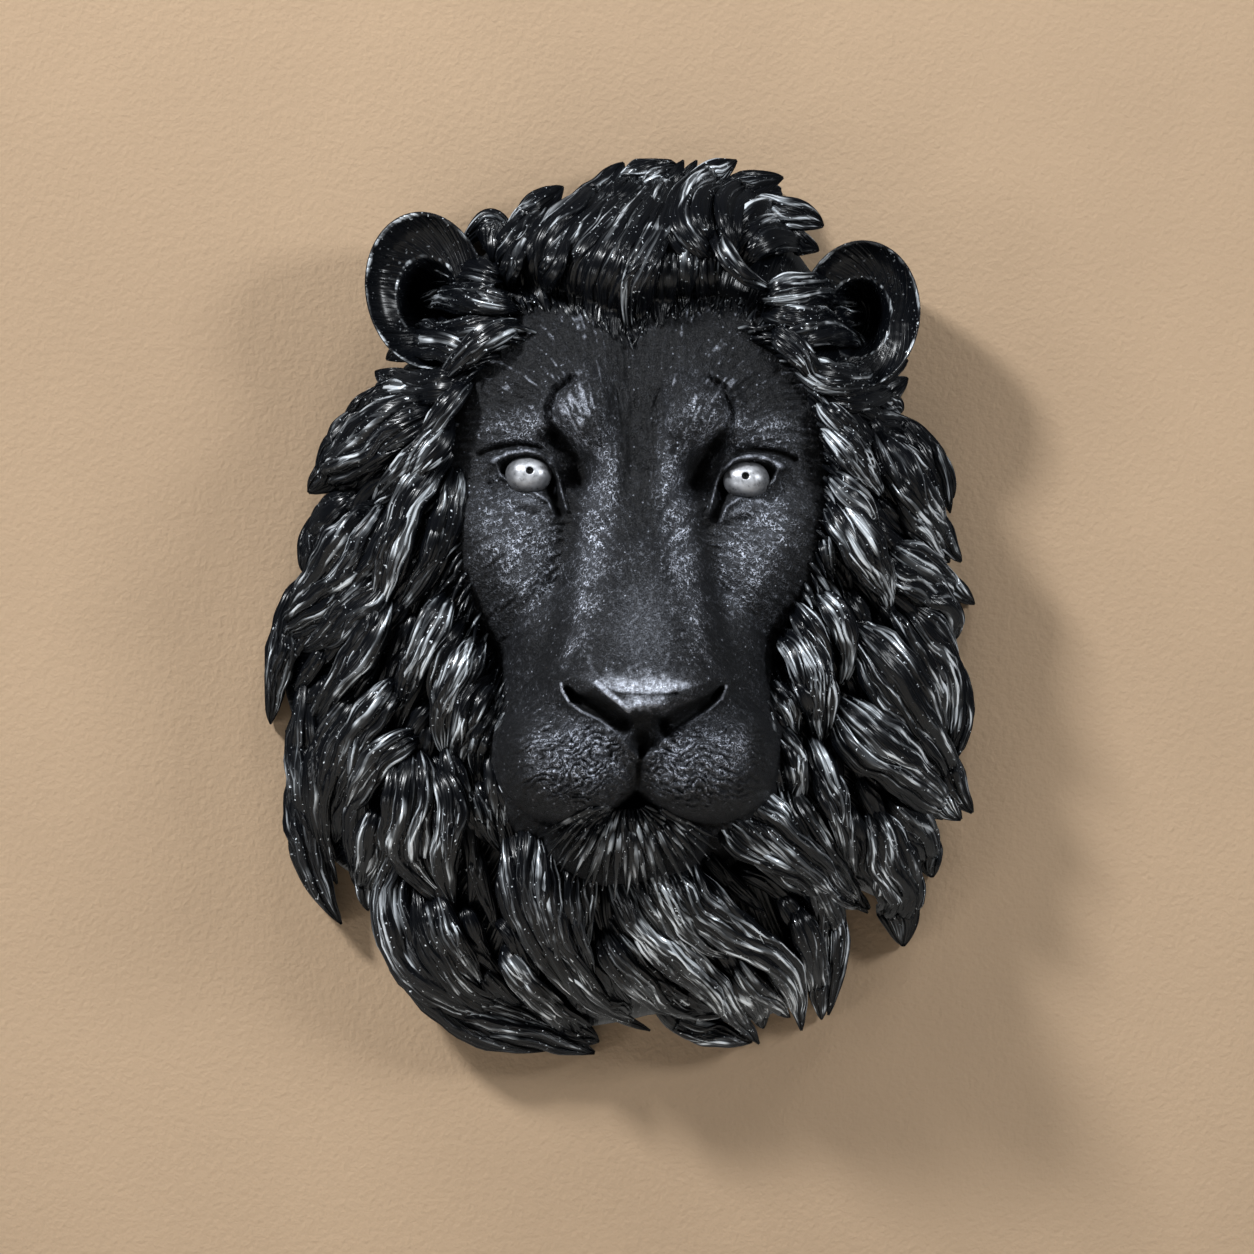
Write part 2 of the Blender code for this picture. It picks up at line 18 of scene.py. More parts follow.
import bpy
import numpy as np
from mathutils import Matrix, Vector


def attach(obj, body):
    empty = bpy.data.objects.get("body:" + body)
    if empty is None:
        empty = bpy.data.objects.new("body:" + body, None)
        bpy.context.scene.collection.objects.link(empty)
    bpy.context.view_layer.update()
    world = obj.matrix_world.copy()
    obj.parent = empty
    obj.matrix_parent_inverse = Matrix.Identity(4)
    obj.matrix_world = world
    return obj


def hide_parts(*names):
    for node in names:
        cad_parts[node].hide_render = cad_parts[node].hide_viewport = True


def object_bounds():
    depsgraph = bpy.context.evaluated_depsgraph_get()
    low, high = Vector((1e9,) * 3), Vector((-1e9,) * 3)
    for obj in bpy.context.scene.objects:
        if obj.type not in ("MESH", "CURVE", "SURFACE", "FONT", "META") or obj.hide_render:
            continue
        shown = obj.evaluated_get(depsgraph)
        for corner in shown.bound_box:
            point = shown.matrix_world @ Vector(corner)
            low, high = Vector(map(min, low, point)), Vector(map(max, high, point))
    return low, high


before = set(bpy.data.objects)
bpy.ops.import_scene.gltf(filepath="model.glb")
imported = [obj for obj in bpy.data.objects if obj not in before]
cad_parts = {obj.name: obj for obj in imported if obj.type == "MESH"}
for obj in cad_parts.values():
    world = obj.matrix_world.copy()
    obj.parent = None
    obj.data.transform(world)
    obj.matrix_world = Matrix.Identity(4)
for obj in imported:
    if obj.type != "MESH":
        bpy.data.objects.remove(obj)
CAD_BOX = [list(corner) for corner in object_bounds()]

MM = 0.001
VIEW_DISTANCE = 2200.0
NOSE_DEPTH = 152.0
MANE_RIM_DEPTH = 66.0
MANE_EDGE_DEPTH = 15.0
CREST_RISE = 15.0
# The casting's flat back, and the back of each low lock, which stops just short of it
BACK = 0.0
LOCK_BACK = 0.7
# A lock's section at its tip, as a share of its widest
SMALLEST_RING = 0.012

# Each eyeball's middle and half sizes, how far its front stands out, and how much higher the left one is
EYE = (49.0, 54.8)
EYE_RADII = (11.4, 8.9)
EYE_DEPTH = 88.0
EYE_TILT = 1.2

# A lock is a few bundles side by side, and each bundle is a few strands
STRAND_WIDTH = 1.65
STRAND_HEIGHT = 1.05
BUNDLE_WIDTH = 6.5
BUNDLE_HEIGHT = 0.125  # as a share of the lock's width
LOCK_STEPS, TRESS_STEPS, UNDER_STEPS = 34, 24, 18
# A lock that stands less high than this above the bed is low
LOW_LIFT = 10
# A short tuft's section: how many sides it has, and its size at the tip as a share of its widest
TUFT_SIDES, TUFT_TIP = 9, 0.12

# How far apart the face's grid lines lie, over its carved middle and towards its edge
FINE_PITCH, COARSE_PITCH = 0.66, 1.0

# Where the mane ends and where the face ends, as (x, z) round the middle
MANE_OUTLINE = [
    (0, 184), (28, 189), (48, 180), (64, 166), (78, 148), (100, 110), (114, 80), (128, 60), (134, 38),
    (137, 18), (142, -2), (138, -20), (142, -45), (136, -72), (134, -95), (118, -138), (100, -130),
    (86, -146), (84, -168), (72, -182), (48, -190), (8, -186), (-22, -192), (-60, -184), (-95, -174),
    (-112, -150), (-116, -130), (-136, -118), (-150, -90), (-150, -65), (-158, -42), (-157, -20),
    (-148, 5), (-143, 28), (-134, 50), (-134, 65), (-122, 82), (-104, 100), (-84, 140), (-58, 164),
    (-40, 174), (-18, 180),
]
FACE_OUTLINE = [
    (0, 132), (40, 130), (62, 116), (80, 90), (87, 58), (86, 28), (79, 0), (68, -30), (62, -60),
    (56, -86), (42, -106), (26, -124), (0, -130), (-26, -128), (-42, -114), (-52, -98), (-60, -80),
    (-64, -50), (-72, -20), (-84, 10), (-89, 40), (-86, 70), (-76, 98), (-50, 122),
]

# Each lock of the mane: root x, root z, tip x, tip z, width, bow and wave as shares of its length, and lift.
# Bow is to the left of the way from root to tip, and lift is how far the lock stands above the mane's bed.
LOCKS_LEFT = [
    (-98, 92, -132, 81, 14, -0.10, 0, 5), (-116, 88, -144, 52, 15, -0.06, 0, 2),
    (-90, 85, -148, 48, 27, -0.05, 0, 12), (-84, 82, -120, 40, 15, 0.03, 0.02, 17),
    (-74, 99, -101, 60, 10, -0.05, 0, 17), (-86, 66, -123, -13, 16, -0.04, -0.03, 18),
    (-80, 62, -108, -7, 14, 0.07, 0, 13), (-125, 47, -150, 12, 19, -0.10, 0, 1),
    (-110, 43, -161, -18, 34, 0.03, 0, 11), (-147, 12, -165, -56, 15, -0.04, 0, 4),
    (-110, 13, -152, -23, 16, 0.06, 0, 11), (-112, 4, -149, -58, 15, 0.05, 0.02, 12),
    (-148, -36, -133, -146, 19, -0.08, 0.02, 5), (-122, -40, -135, -128, 15, -0.16, 0, 11),
    (-106, -36, -137, -98, 16, -0.09, 0, 14), (-97, -60, -131, -101, 15, -0.12, 0, 12),
    (-99, -66, -86, -137, 23, -0.15, 0.03, 15), (-92, -72, -82, -139, 14, 0.03, 0.05, 15),
    (-87, -62, -68, -110, 10, -0.04, 0, 8), (-106, -100, -19, -204, 25, -0.245, -0.045, 8),
    (-99, -126, -36, -191, 13, -0.21, 0, 11), (-92, -132, -68, -178, 15, -0.05, 0, 8),
    (-84, 3, -109, -52, 14, -0.02, 0, 17), (-77, -8, -90, -54, 8, -0.12, 0, 17),
    (-70, -18, -86, -72, 16, -0.12, 0, 17), (-64, -35, -80, -77, 13, -0.12, 0, 18),
    (-62, -46, -72, -82, 9, -0.10, 0, 18), (-63, -62, -59, -106, 10, -0.05, 0, 16),
    (-73, -80, -61, -114, 9, -0.05, 0, 6), (-123, -82, -124, -132, 13, -0.05, 0, 2),
    (-100, 95, -118, 96, 12, 0.05, 0, 10), (-44, -178, -17, -199, 15, -0.05, 0, 0),
    (-113, -92, -121, -140, 15, -0.08, 0, 3), (-96, -150, -74, -186, 14, -0.10, 0, 3),
]
LOCKS_BELOW = [
    (-58, -100, 6, -194, 15, -0.16, 0, 12), (-48, -94, -8, -190, 14, -0.13, 0, 15),
    (-41, -101, -14, -185, 11, -0.11, 0, 17), (-29, -111, -18, -179, 9, -0.07, 0, 14),
    (-60, -157, -28, -190, 14, -0.09, 0, 7), (0, -112, 43, -162, 21, -0.06, 0, 16),
    (-14, -114, 55, -200, 19, -0.03, -0.02, 11), (-16, -144, 42, -186, 17, -0.17, 0, 8),
    (8, -182, 52, -199, 13, -0.07, 0, 1), (18, -108, 74, -194, 18, 0.0, -0.08, 13),
    (44, -162, 69, -188, 10, -0.04, 0, 8), (42, -166, 57, -193, 13, 0.06, 0, 3),
    (32, -98, 86, -187, 17, 0.25, 0, 10), (69, -137, 83, -189, 13, 0.06, 0, 9),
    (31, -92, 91, -134, 15, -0.05, 0, 15), (42, -80, 105, -139, 24, -0.07, 0, 14),
    (64, -78, 104, -141, 14, -0.04, 0, 13), (77, -60, 99, -128, 11, 0.02, 0, 17),
    (-22, -112, -26, -168, 10, 0.0, 0, 10),
]
LOCKS_RIGHT = [
    (100, 83, 141, 39, 13, 0.18, 0, 4), (112, 72, 137, 37, 12, 0.06, 0, 3),
    (107, 76, 146, 17, 20, -0.03, 0, 13), (117, 46, 141, 17, 13, -0.04, 0, 8),
    (112, 25, 152, -2, 14, 0.02, 0, 7), (112, 15, 143, -4, 13, -0.06, 0, 7),
    (124, 5, 142, -19, 22, 0.10, 0, 0), (82, 88, 105, 65, 11, 0.03, 0, 16),
    (84, 77, 110, 46, 15, 0.05, 0, 18), (87, 56, 109, 30, 12, 0.05, 0, 17),
    (86, 44, 114, -6, 19, 0.06, 0, 18), (112, -3, 140, -50, 8, 0.03, 0, 15),
    (118, -2, 142, -73, 21, 0.13, 0, 4), (92, -10, 151, -96, 25, 0.03, 0.02, 14),
    (88, -45, 146, -99, 27, -0.02, 0, 13), (112, -88, 133, -125, 19, 0.08, 0, 2),
    (102, -94, 120, -156, 25, 0.06, 0, 1), (79, 4, 91, -40, 11, 0.20, 0, 17),
    (70, -2, 87, -36, 11, 0.06, 0, 15), (66, -14, 82, -66, 19, 0.11, 0, 18),
    (60, -36, 74, -62, 9, 0.03, 0, 15), (61, -56, 68, -98, 10, 0.17, 0, 18),
    (57, -70, 65, -92, 8, 0.05, 0, 14), (84, 28, 88, 10, 6, 0, 0, 14),
    (106, 92, 119, 84, 10, 0.1, 0, 4), (98, -12, 116, -36, 13, 0.05, 0, 9),
]
LOCKS_CREST = [
    (-50, 138, -19, 188, 14, 0.08, 0.03, 9), (-44, 138, -6, 197, 18, 0.08, 0.04, 13),
    (-35, 134, 1, 194, 14, 0.06, 0.04, 12), (-27, 127, 8, 196, 15, 0.05, 0.04, 11),
    (-19, 121, 15, 198, 15, 0.06, 0.04, 12), (-11, 116, 21, 198, 15, 0.08, 0.03, 13),
    (2, 117, 27, 198, 13, 0.10, 0.02, 11), (11, 121, 30, 193, 12, 0.09, 0, 4),
    (21, 129, 32, 184, 13, 0.10, 0, 3), (32, 131, 34, 178, 12, 0.06, 0, 2),
    (20, 192, -3, 116, 11, -0.06, 0.05, 16), (30, 176, 63, 138, 8, -0.14, 0, 16),
    (36, 146, 45, 198, 20, 0.34, 0, 19), (43, 147, 66, 190, 18, 0.32, 0, 14),
    (38, 157, 84, 168, 18, 0.24, 0, 14), (42, 151, 82, 157, 15, 0.20, 0, 10),
    (50, 174, 65, 184, 14, 0.10, 0, 4), (-58, 145, -33, 186, 16, 0.10, 0, 10),
    (-61, 148, -42, 174, 12, 0.14, 0, 18), (-64, 152, -79, 157, 13, -1.00, 0, 7),
    (-60, 150, -70, 158, 8, -0.9, 0, 11), (-14, 170, 18, 196, 19, 0.08, 0, 4),
    (-56, 139, -48, 166, 10, 0.10, 0, 14), (-40, 137, -26, 168, 10, 0.10, 0, 18),
]
LOCKS_EARS = [
    (-60, 142, -100, 152, 12, -0.07, 0, 16), (-58, 137, -94, 142, 10, 0.06, 0, 18),
    (-55, 131, -99, 134, 13, -0.05, 0, 17), (-56, 124, -97, 122, 12, 0.06, 0, 12),
    (-72, 109, -113, 108, 14, -0.15, 0, 12), (-76, 98, -118, 103, 16, 0.14, 0, 6),
    (-52, 124, -91, 95, 11, -0.08, 0, 16), (-88, 120, -104, 118, 9, -0.15, 0, 9),
    (56, 136, 101, 132, 15, 0.12, 0, 17), (58, 128, 96, 121, 14, 0.05, 0, 13),
    (62, 116, 105, 112, 13, 0.14, 0, 14), (68, 107, 122, 108, 14, -0.16, 0, 12),
    (80, 98, 122, 100, 16, -0.16, 0, 5), (84, 141, 102, 140, 12, 0.20, 0, 10),
    (58, 122, 84, 90, 11, 0.10, 0, 15), (86, 126, 103, 124, 9, 0.15, 0, 9),
]
CHIN_ROOT = (-5, -92.5)

# The edge of the face that the short tufts follow, on its right side
FRINGE_EDGE = [
    (50, 122), (66, 110), (77, 98), (84, 84), (88, 60), (87, 35), (80, 8), (72, -15), (63, -36), (60, -55),
]

# The line on the forehead where the crest starts
HAIRLINE = [(-55, 134), (-25, 132), (-8, 121), (-4, 117), (2, 121), (15, 132), (45, 130), (58, 120)]

# Each ear: middle of the bowl's floor, middle of its rim, the rim's half width and half height, and its lean
# in degrees
EARS = [((-92, 131), (-95, 139), 27.5, 36.0, -10.0), ((99, 126), (100, 128), 27.5, 34.0, 8.0)]
# The bowl from its floor over the rim to the back, as (share of the rim's size, depth)
EAR_PROFILE = [
    (0.05, 12), (0.30, 14), (0.42, 30), (0.50, 38), (0.60, 39), (0.78, 41), (0.92, 46), (0.985, 49),
    (1.00, 45), (0.97, 34), (0.86, 22), (0.72, 10), (0.64, BACK),
]
# Of the rings that the profile turns into, the one on the rim's edge and how many are worked in front
EAR_RIM_RING, EAR_FRONT_RINGS = 31, 35


def hump(x, z, middle, radii, foot, top, power=2.0):
    """Depth of a half ellipsoid that stands on foot and rises to top, falling away steeply outside it."""
    far = (np.abs((x - middle[0]) / radii[0]) ** power + np.abs((z - middle[1]) / radii[1]) ** power)
    inside = foot + (top - foot) * np.sqrt(np.clip(1 - far, 0, 1))
    outside = foot - 1.6 * min(radii) * (np.maximum(far, 1) ** (1 / power) - 1)
    return np.where(far < 1, inside, outside)


def merged(a, b, blend):
    """The greater of two depths, with a fillet about blend wide where they meet."""
    share = np.clip(0.5 + 0.5 * (a - b) / blend, 0, 1)
    return b + (a - b) * share + blend * share * (1 - share)


def swell(x, z, middle, radii, height=1.0, power=2):
    """A soft round rise, or a dip where height is negative. A higher power makes it flatter and squarer."""
    return height * np.exp(-(((x - middle[0]) / radii[0]) ** power) - ((z - middle[1]) / radii[1]) ** power)


def distance(x, z, points, widths):
    """How far each place is from a line of (x, z) points, in shares of the line's half width there."""
    nearest = np.full(x.shape, 1e9)
    for (ax, az), (bx, bz), wa, wb in zip(points, points[1:], widths, widths[1:]):
        dx, dz = bx - ax, bz - az
        along = np.clip(((x - ax) * dx + (z - az) * dz) / (dx * dx + dz * dz), 0, 1)
        far = np.hypot(x - ax - along * dx, z - az - along * dz) / (wa + (wb - wa) * along)
        nearest = np.minimum(nearest, far)
    return nearest


def stroke(x, z, points, width, height=1.0):
    """A ridge, or a groove where height is negative, along a line of (x, z) points."""
    return height * np.exp(-(distance(x, z, points, [width] * len(points)) ** 2))


def slot(x, z, points, widths, height=1.0):
    """A steep-sided groove or ridge whose half width changes along its line."""
    return height * np.exp(-np.minimum(distance(x, z, points, widths), 9) ** 4)


def boldest(x, z, lines, share):
    """share, or the strongest of some strokes wherever one of them is stronger."""
    for points, width, most in lines:
        share = np.maximum(share, stroke(x, z, points, width, most))
    return share


def skull_and_muzzle(x, z):
    """The big forms of the face: brow, cheeks, bridge of the nose, muzzle, lips and chin."""
    depth = hump(x, z, (0, 50), (97, 100), 38, 92, 2.5)
    for side in (-1, 1):
        depth = merged(depth, hump(x, z, (56 * side, 26), (33, 52), 52, 86), 14)
    heights = [-104, -84, -70, -58, -46, -36, -15, 8, 32, 60, 95, 130]
    bridge_top = np.interp(z, heights, [40, 104, 131, 142, 148, 146, 135, 120, 105, 94, 84, 45])
    bridge_half = np.interp(z, heights, [8, 8, 10, 21, 34, 35, 29, 25, 19, 15, 14, 14])
    squareness = np.interp(z, [-40, 0, 30], [3.6, 2.4, 2.2])
    bridge = bridge_top - 17 * np.abs(x / bridge_half) ** squareness
    depth = merged(depth, np.maximum(bridge, 30), 15)
    depth = merged(depth, hump(x, z, (0, -46), (62, 60), 56, 122, 2.5), 26)
    for side in (-1, 1):
        pad = hump(x, z, (27 * side, -71), (36, 31), 88, 139, 2.2)
        depth = merged(depth, pad, 19)
    return merged(depth, hump(x, z, (-5, -104), (38, 25), 70, 107, 2.3), 4)


def nose_top(x, z):
    """Where the round top of the nose stands, from 0 to 1 with a soft edge."""
    far = (np.abs(x - 1) / 30) ** 2.6 + (np.abs(z + 18) / 45) ** 2.6
    return np.clip((1.1 - far) / 0.4, 0, 1)


def brow_and_eyes(x, z):
    """What the brows, sockets and lids add to the big forms."""
    depth = stroke(x, z, [(-2, 124), (-1, 58)], 6.5, -5.0)
    depth += swell(x, z, (0, 44), (9, 14), -4.5) + 2.5 * nose_top(x, z)
    for side in (-1, 1):
        tilt = -EYE_TILT * side
        flank = [(19, 96), (14, 66), (13, 48), (22, 32), (30, 12)]
        depth += stroke(x, z, [(a * side, b) for a, b in flank], 6, 5.0)
        depth += swell(x, z, (27 * side + 1, 85), (12, 14), 10.5)
        crease = [(31, 99), (38, 94), (41, 85), (39, 75)]
        depth += stroke(x, z, [(a * side + 1.5, b) for a, b in crease], 2.0, -5.5)
        depth += stroke(x, z, [(a * side + 1.5 + 4 * side, b + 1) for a, b in crease], 2.0, 2)
        depth += stroke(x, z, [(10 * side, 92), (11 * side, 78), (17 * side, 68)], 3, -2.5)
        hollow = [(36, 72), (30, 66), (26, 59), (25, 52)]
        depth += stroke(x, z, [(a * side, b + tilt) for a, b in hollow], 5.5, -14)
        depth += swell(x, z, (50 * side, 55 + tilt), (22, 14), -10)
        depth += lids(side * x, z - tilt)
        valley = [(34, 50), (31, 28), (35, 6), (40, -14), (45, -32)]
        depth += stroke(x, z, [(a * side, b) for a, b in valley], 7, -4.5)
        cheekbone = [(77, 38), (62, 20), (49, 0), (45, -16)]
        depth += stroke(x, z, [(a * side, b) for a, b in cheekbone], 10, 2.5)
        depth += swell(x, z, (69 * side, -14), (12, 28), -7)
    return depth


UPPER_LID = [(65, 61), (58, 64.3), (50, 65.4), (43, 63.8), (39.5, 60)]
LID_CREASE = [(71, 64), (65, 66.6), (59, 68), (52.6, 68.5), (45.5, 67.2), (42, 64.4), (39.5, 61)]
LOWER_LID = [(63.5, 59.5), (61.5, 54.3), (55, 49.7), (46.3, 46.8), (40.2, 42.8), (37.3, 36)]
INNER_LID = [(38, 59.5), (35.8, 54), (33.7, 45.5), (31.8, 39)]
TEAR_DUCT = [(39.4, 53), (38.6, 47), (35.6, 38)]


def lids(x, z):
    """The lids and the tear duct of one eye, with x growing away from the nose."""
    depth = stroke(x, z, UPPER_LID, 2.0, 6) + stroke(x, z, LID_CREASE, 1.3, -4.0)
    depth += stroke(x, z, LOWER_LID, 1.3, 4.5) + stroke(x, z, INNER_LID, 1.2, 3.5)
    depth += stroke(x, z, TEAR_DUCT, 1.9, -7) + swell(x, z, (52, 42), (12, 4.5), 3)
    return depth + stroke(x, z, [(66, 50), (58, 41), (46, 36)], 2.4, -2)


def shine(x, z):
    """How brightly the silver is rubbed over each edge of the eyes and the nose, with a painted highlight in
    each eye's inner corner and along the top of the nose leather, from 0 to 1.
    """
    share = np.zeros_like(x)
    for side in (-1, 1):
        a, b = side * x, z + EYE_TILT * side
        # The glint is a painted highlight in the inner corner of the eye.
        glint, under_lid = [(37, 49), (37.4, 46)], [(60, 49), (52, 44.5), (45, 42), (40, 38)]
        share = boldest(a, b, (
            (UPPER_LID, 1.6, 0.6), (LOWER_LID, 0.7, 0.62), (INNER_LID, 0.6, 0.5), (glint, 0.6, 1),
            (under_lid, 3.0, 0.34),
        ), share)
    share = share * (0.55 + 0.6 * value_noise(x, z, 2.4, 8))
    for rim, most in zip(NOSTRIL_RIMS, (0.8, 0.6)):
        share = np.maximum(share, stroke(x, z, rim, 0.8, most) * np.clip((z + 66) / 8, 0, 1))
    # The top of the nose leather is partly rubbed silver and partly a painted highlight, brightest just above
    # its front edge.
    edge = z + 41.5 - 0.006 * (x - 5) ** 2
    above = 0.72 * np.exp(-((edge / 3.8) ** 2)) + 0.52 * np.exp(-((edge / 13) ** 2))
    wide = 0.70 * np.exp(-(((x - 4) / 17) ** 4)) + 0.40 * np.exp(-(((x - 2) / 30) ** 4))
    top = np.where(edge > 0, above, 1.22 * np.exp(-((edge / 1.6) ** 2))) * wide
    wing = stroke(x, z, [(-18, -38), (-12, -44), (-4, -50.5)], 1.5, 0.95)
    wing = boldest(x, z, [(crack, 1.5, 0.30) for crack in NOSE_CRACKS], wing)
    front = np.exp(-(((x - 2.5) / 10.5) ** 4) - ((z + 47.8 - 0.06 * np.abs(x - 3)) / 4.4) ** 4)
    front = front * (0.35 + 0.5 * value_noise(x, z, 1.7, 12))
    bright = top * (0.45 + 0.8 * value_noise(x, z, 2.2, 11) * value_noise(x, z, 6, 13) ** 0.3)
    return np.maximum(share, np.maximum(np.maximum(bright, wing), front))


def painted_hollow_shade(x, z):
    """How much painted shade darkens each hollow of the face, from 0 to 1."""
    share = np.zeros_like(x)
    for side in (-1, 1):
        a, b = side * x, z + EYE_TILT * side
        hollow, nose_side = [(38, 74), (32, 67.5), (27.5, 61), (25.5, 54)], [(26, 54), (28, 44), (31, 34)]
        share = boldest(a, b, (
            (hollow, 5.0, 0.85), (nose_side, 4.5, 0.35), (LID_CREASE, 1.4, 0.9), (TEAR_DUCT, 2.6, 1.0),
        ), share)
        share = np.maximum(share, swell(a, b, (50, 55.5), (12.5, 8.8), power=6))
    for nostril, widths in NOSTRILS:
        share = np.maximum(share, slot(x, z, nostril, [1.15 * w for w in widths]))
    share = np.maximum(share, slot(x, z, *NOSE_FRONT))
    share = np.maximum(share, stroke(x, z, [(1.5, -70), (0.2, -84)], 1.0, 0.9))
    return np.maximum(share, swell(x, z, (0, -90), (5.5, 3.2), power=4))


NOSE_CRACKS = (
    [(-9, -38), (-5, -33), (3, -28)], [(-17, -37), (-21, -31), (-22, -26)], [(6, -37), (12, -31), (14, -25)],
)
NOSTRIL_RIMS = (
    [
        (-34.5, -38.5), (-34, -41.5), (-30.8, -46.8), (-25.2, -51), (-17, -54.8), (-8.3, -61.5),
        (-3.4, -68.5), (1.4, -72.5),
    ],
    [(40, -39.5), (37.8, -45), (32, -50.2), (25.5, -54.4), (17.5, -59.4), (9.6, -67), (4.6, -71.7)],
)
# The middle line of each nostril and its half widths
NOSTRILS = (
    ([(-31.5, -41), (-28, -45), (-21, -47.5), (-14, -51.5), (-8, -56.5)], [1.3, 2.4, 4.4, 5.4, 5.0]),
    ([(37.5, -41), (34, -44.8), (28, -48.5), (20, -52.5), (13, -57.5)], [1.3, 2.2, 3.4, 4.4, 5.0]),
)
# The sunk front of the nose between the nostrils, which painted shade darkens, in the same way
NOSE_FRONT = ([(4.5, -57), (3.4, -63), (2.2, -70)], [9.5, 6.6, 1.4])


def nose_and_mouth(x, z):
    """What the nose leather, nostrils, lips and mouth line add."""
    depth = swell(x, z, (2, -37), (26, 8), 5) + swell(x, z, (2.5, -47), (11, 6), 7)
    depth += stroke(x, z, [(-5, -42.8), (5, -43.8), (17, -43)], 0.9, -2.6)
    for nostril, widths in NOSTRILS:
        depth += slot(x, z, nostril, widths, -13)
    depth += slot(x, z, *NOSE_FRONT, -9)
    for rim in NOSTRIL_RIMS:
        depth += stroke(x, z, rim, 1.3, 2.6)
    for wing in ([(-38, -36), (-30, -36), (-20, -41)], [(43, -36), (33, -37), (22, -43)]):
        depth += stroke(x, z, wing, 2.2, 2.6)
    for side in (-1, 1):
        lip = [(0, -88), (12 * side, -98), (31 * side, -102), (44 * side, -98)]
        depth += stroke(x, z, lip, 2.6, -6)
    depth += stroke(x, z, [(1.5, -69), (0.5, -80), (-0.5, -90)], 1.1, -5)
    return depth + swell(x, z, (0, -93), (5.5, 4), -10)


def value_noise(x, z, size, seed):
    """Smooth noise from 0 to 1 whose bumps are about size apart."""
    u, v = x / size + 31.7 * seed, z / size - 17.3 * seed
    i, j = np.floor(u), np.floor(v)
    fu, fv = u - i, v - j
    fu, fv = fu * fu * (3 - 2 * fu), fv * fv * (3 - 2 * fv)

    def corner(a, b):
        return np.modf(np.abs(np.sin(a * 127.1 + b * 311.7 + seed * 74.7) * 43758.5453))[0]

    low = corner(i, j) * (1 - fu) + corner(i + 1, j) * fu
    high = corner(i, j + 1) * (1 - fu) + corner(i + 1, j + 1) * fu
    return low * (1 - fv) + high * fv


def fur_flow(x, z):
    """The way that the short fur lies at each point of the face."""
    side = np.sign(x) + (x == 0)
    up = np.clip((z - 10) / 60, 0, 1) * np.clip(1.35 - np.abs(x) / 70, 0, 1)
    flow_x = side * (0.15 + 0.9 * np.clip(np.abs(x) / 45, 0, 1))
    flow_z = 1.6 * up - 0.85 * (1 - up) * np.clip(np.abs(x) / 26 - 0.2, 0, 1) + 0.5 * (np.abs(x) < 26)
    size = np.hypot(flow_x, flow_z) + 1e-6
    return flow_x / size, flow_z / size


def combed_noise(x, z, size, length, seed):
    """Noise drawn out along the fur, about size across and length long, from 0 to 1."""
    total = np.zeros_like(x)
    steps = 5
    for way in (-1, 1):
        u, v = x, z
        for _ in range(steps):
            fx, fz = fur_flow(u, v)
            u, v = u + way * fx * length / (2 * steps), v + way * fz * length / (2 * steps)
            total += value_noise(u, v, size, seed)
    total = total / (2 * steps)
    return np.clip(0.5 + (total - 0.5) * 2.4, 0, 1)


def big_forms(x, z):
    return skull_and_muzzle(x, z) + brow_and_eyes(x, z) + nose_and_mouth(x, z)


def face_depth(x, z):
    """The carved face without its fur, with an opening for each eyeball."""
    depth = np.minimum(big_forms(x, z), NOSE_DEPTH)
    for side in (-1, 1):
        middle = (EYE[0] * side, EYE[1] - EYE_TILT * side)
        far = np.hypot((x - middle[0]) / EYE_RADII[0], (z - middle[1]) / EYE_RADII[1])
        floor = np.minimum(depth, EYE_DEPTH - 7)
        share = np.clip((1.0 - far) / 0.12, 0, 1)
        depth = depth + (floor - depth) * share
    return depth


def reach(outline, angle):
    """How far an outline lies from the middle at each angle."""
    corners = np.array(outline, float)
    angles = np.arctan2(corners[:, 1], corners[:, 0])
    order = np.argsort(angles)
    return np.interp(angle, angles[order], np.hypot(*corners[order].T), period=2 * math.pi)


def bed_depth(x, z):
    """Depth of the mane's bed, which falls from the face's rim to the mane's edge."""
    angle = np.arctan2(z, x)
    inner, outer = reach(FACE_OUTLINE, angle), reach(MANE_OUTLINE, angle)
    share = np.clip((np.hypot(x, z) - inner) / (outer - inner), 0, 1)
    depth = MANE_EDGE_DEPTH + (MANE_RIM_DEPTH - MANE_EDGE_DEPTH) * (1 - share**2) ** 0.75
    return depth + swell(x, z, (6, 152), (52, 22), CREST_RISE)


def outward(x, z):
    """The way that the mane's surface faces, eased towards straight out."""
    step = 6.0
    slope_x = (bed_depth(x + step, z) - bed_depth(x - step, z)) / (2 * step)
    slope_z = (bed_depth(x, z + step) - bed_depth(x, z - step)) / (2 * step)
    facing = np.stack([-0.6 * slope_x, -np.ones_like(x), -0.6 * slope_z], -1)
    return facing / np.linalg.norm(facing, axis=1, keepdims=True)


def placed(points):
    """Real places in metres of (x, depth, z) points as they look from VIEW_DISTANCE."""
    nearer = (VIEW_DISTANCE - points[..., 1]) / VIEW_DISTANCE
    places = np.stack([points[..., 0] * nearer, -points[..., 1], points[..., 2] * nearer], -1) * MM
    return np.clip(places, *CAD_BOX)


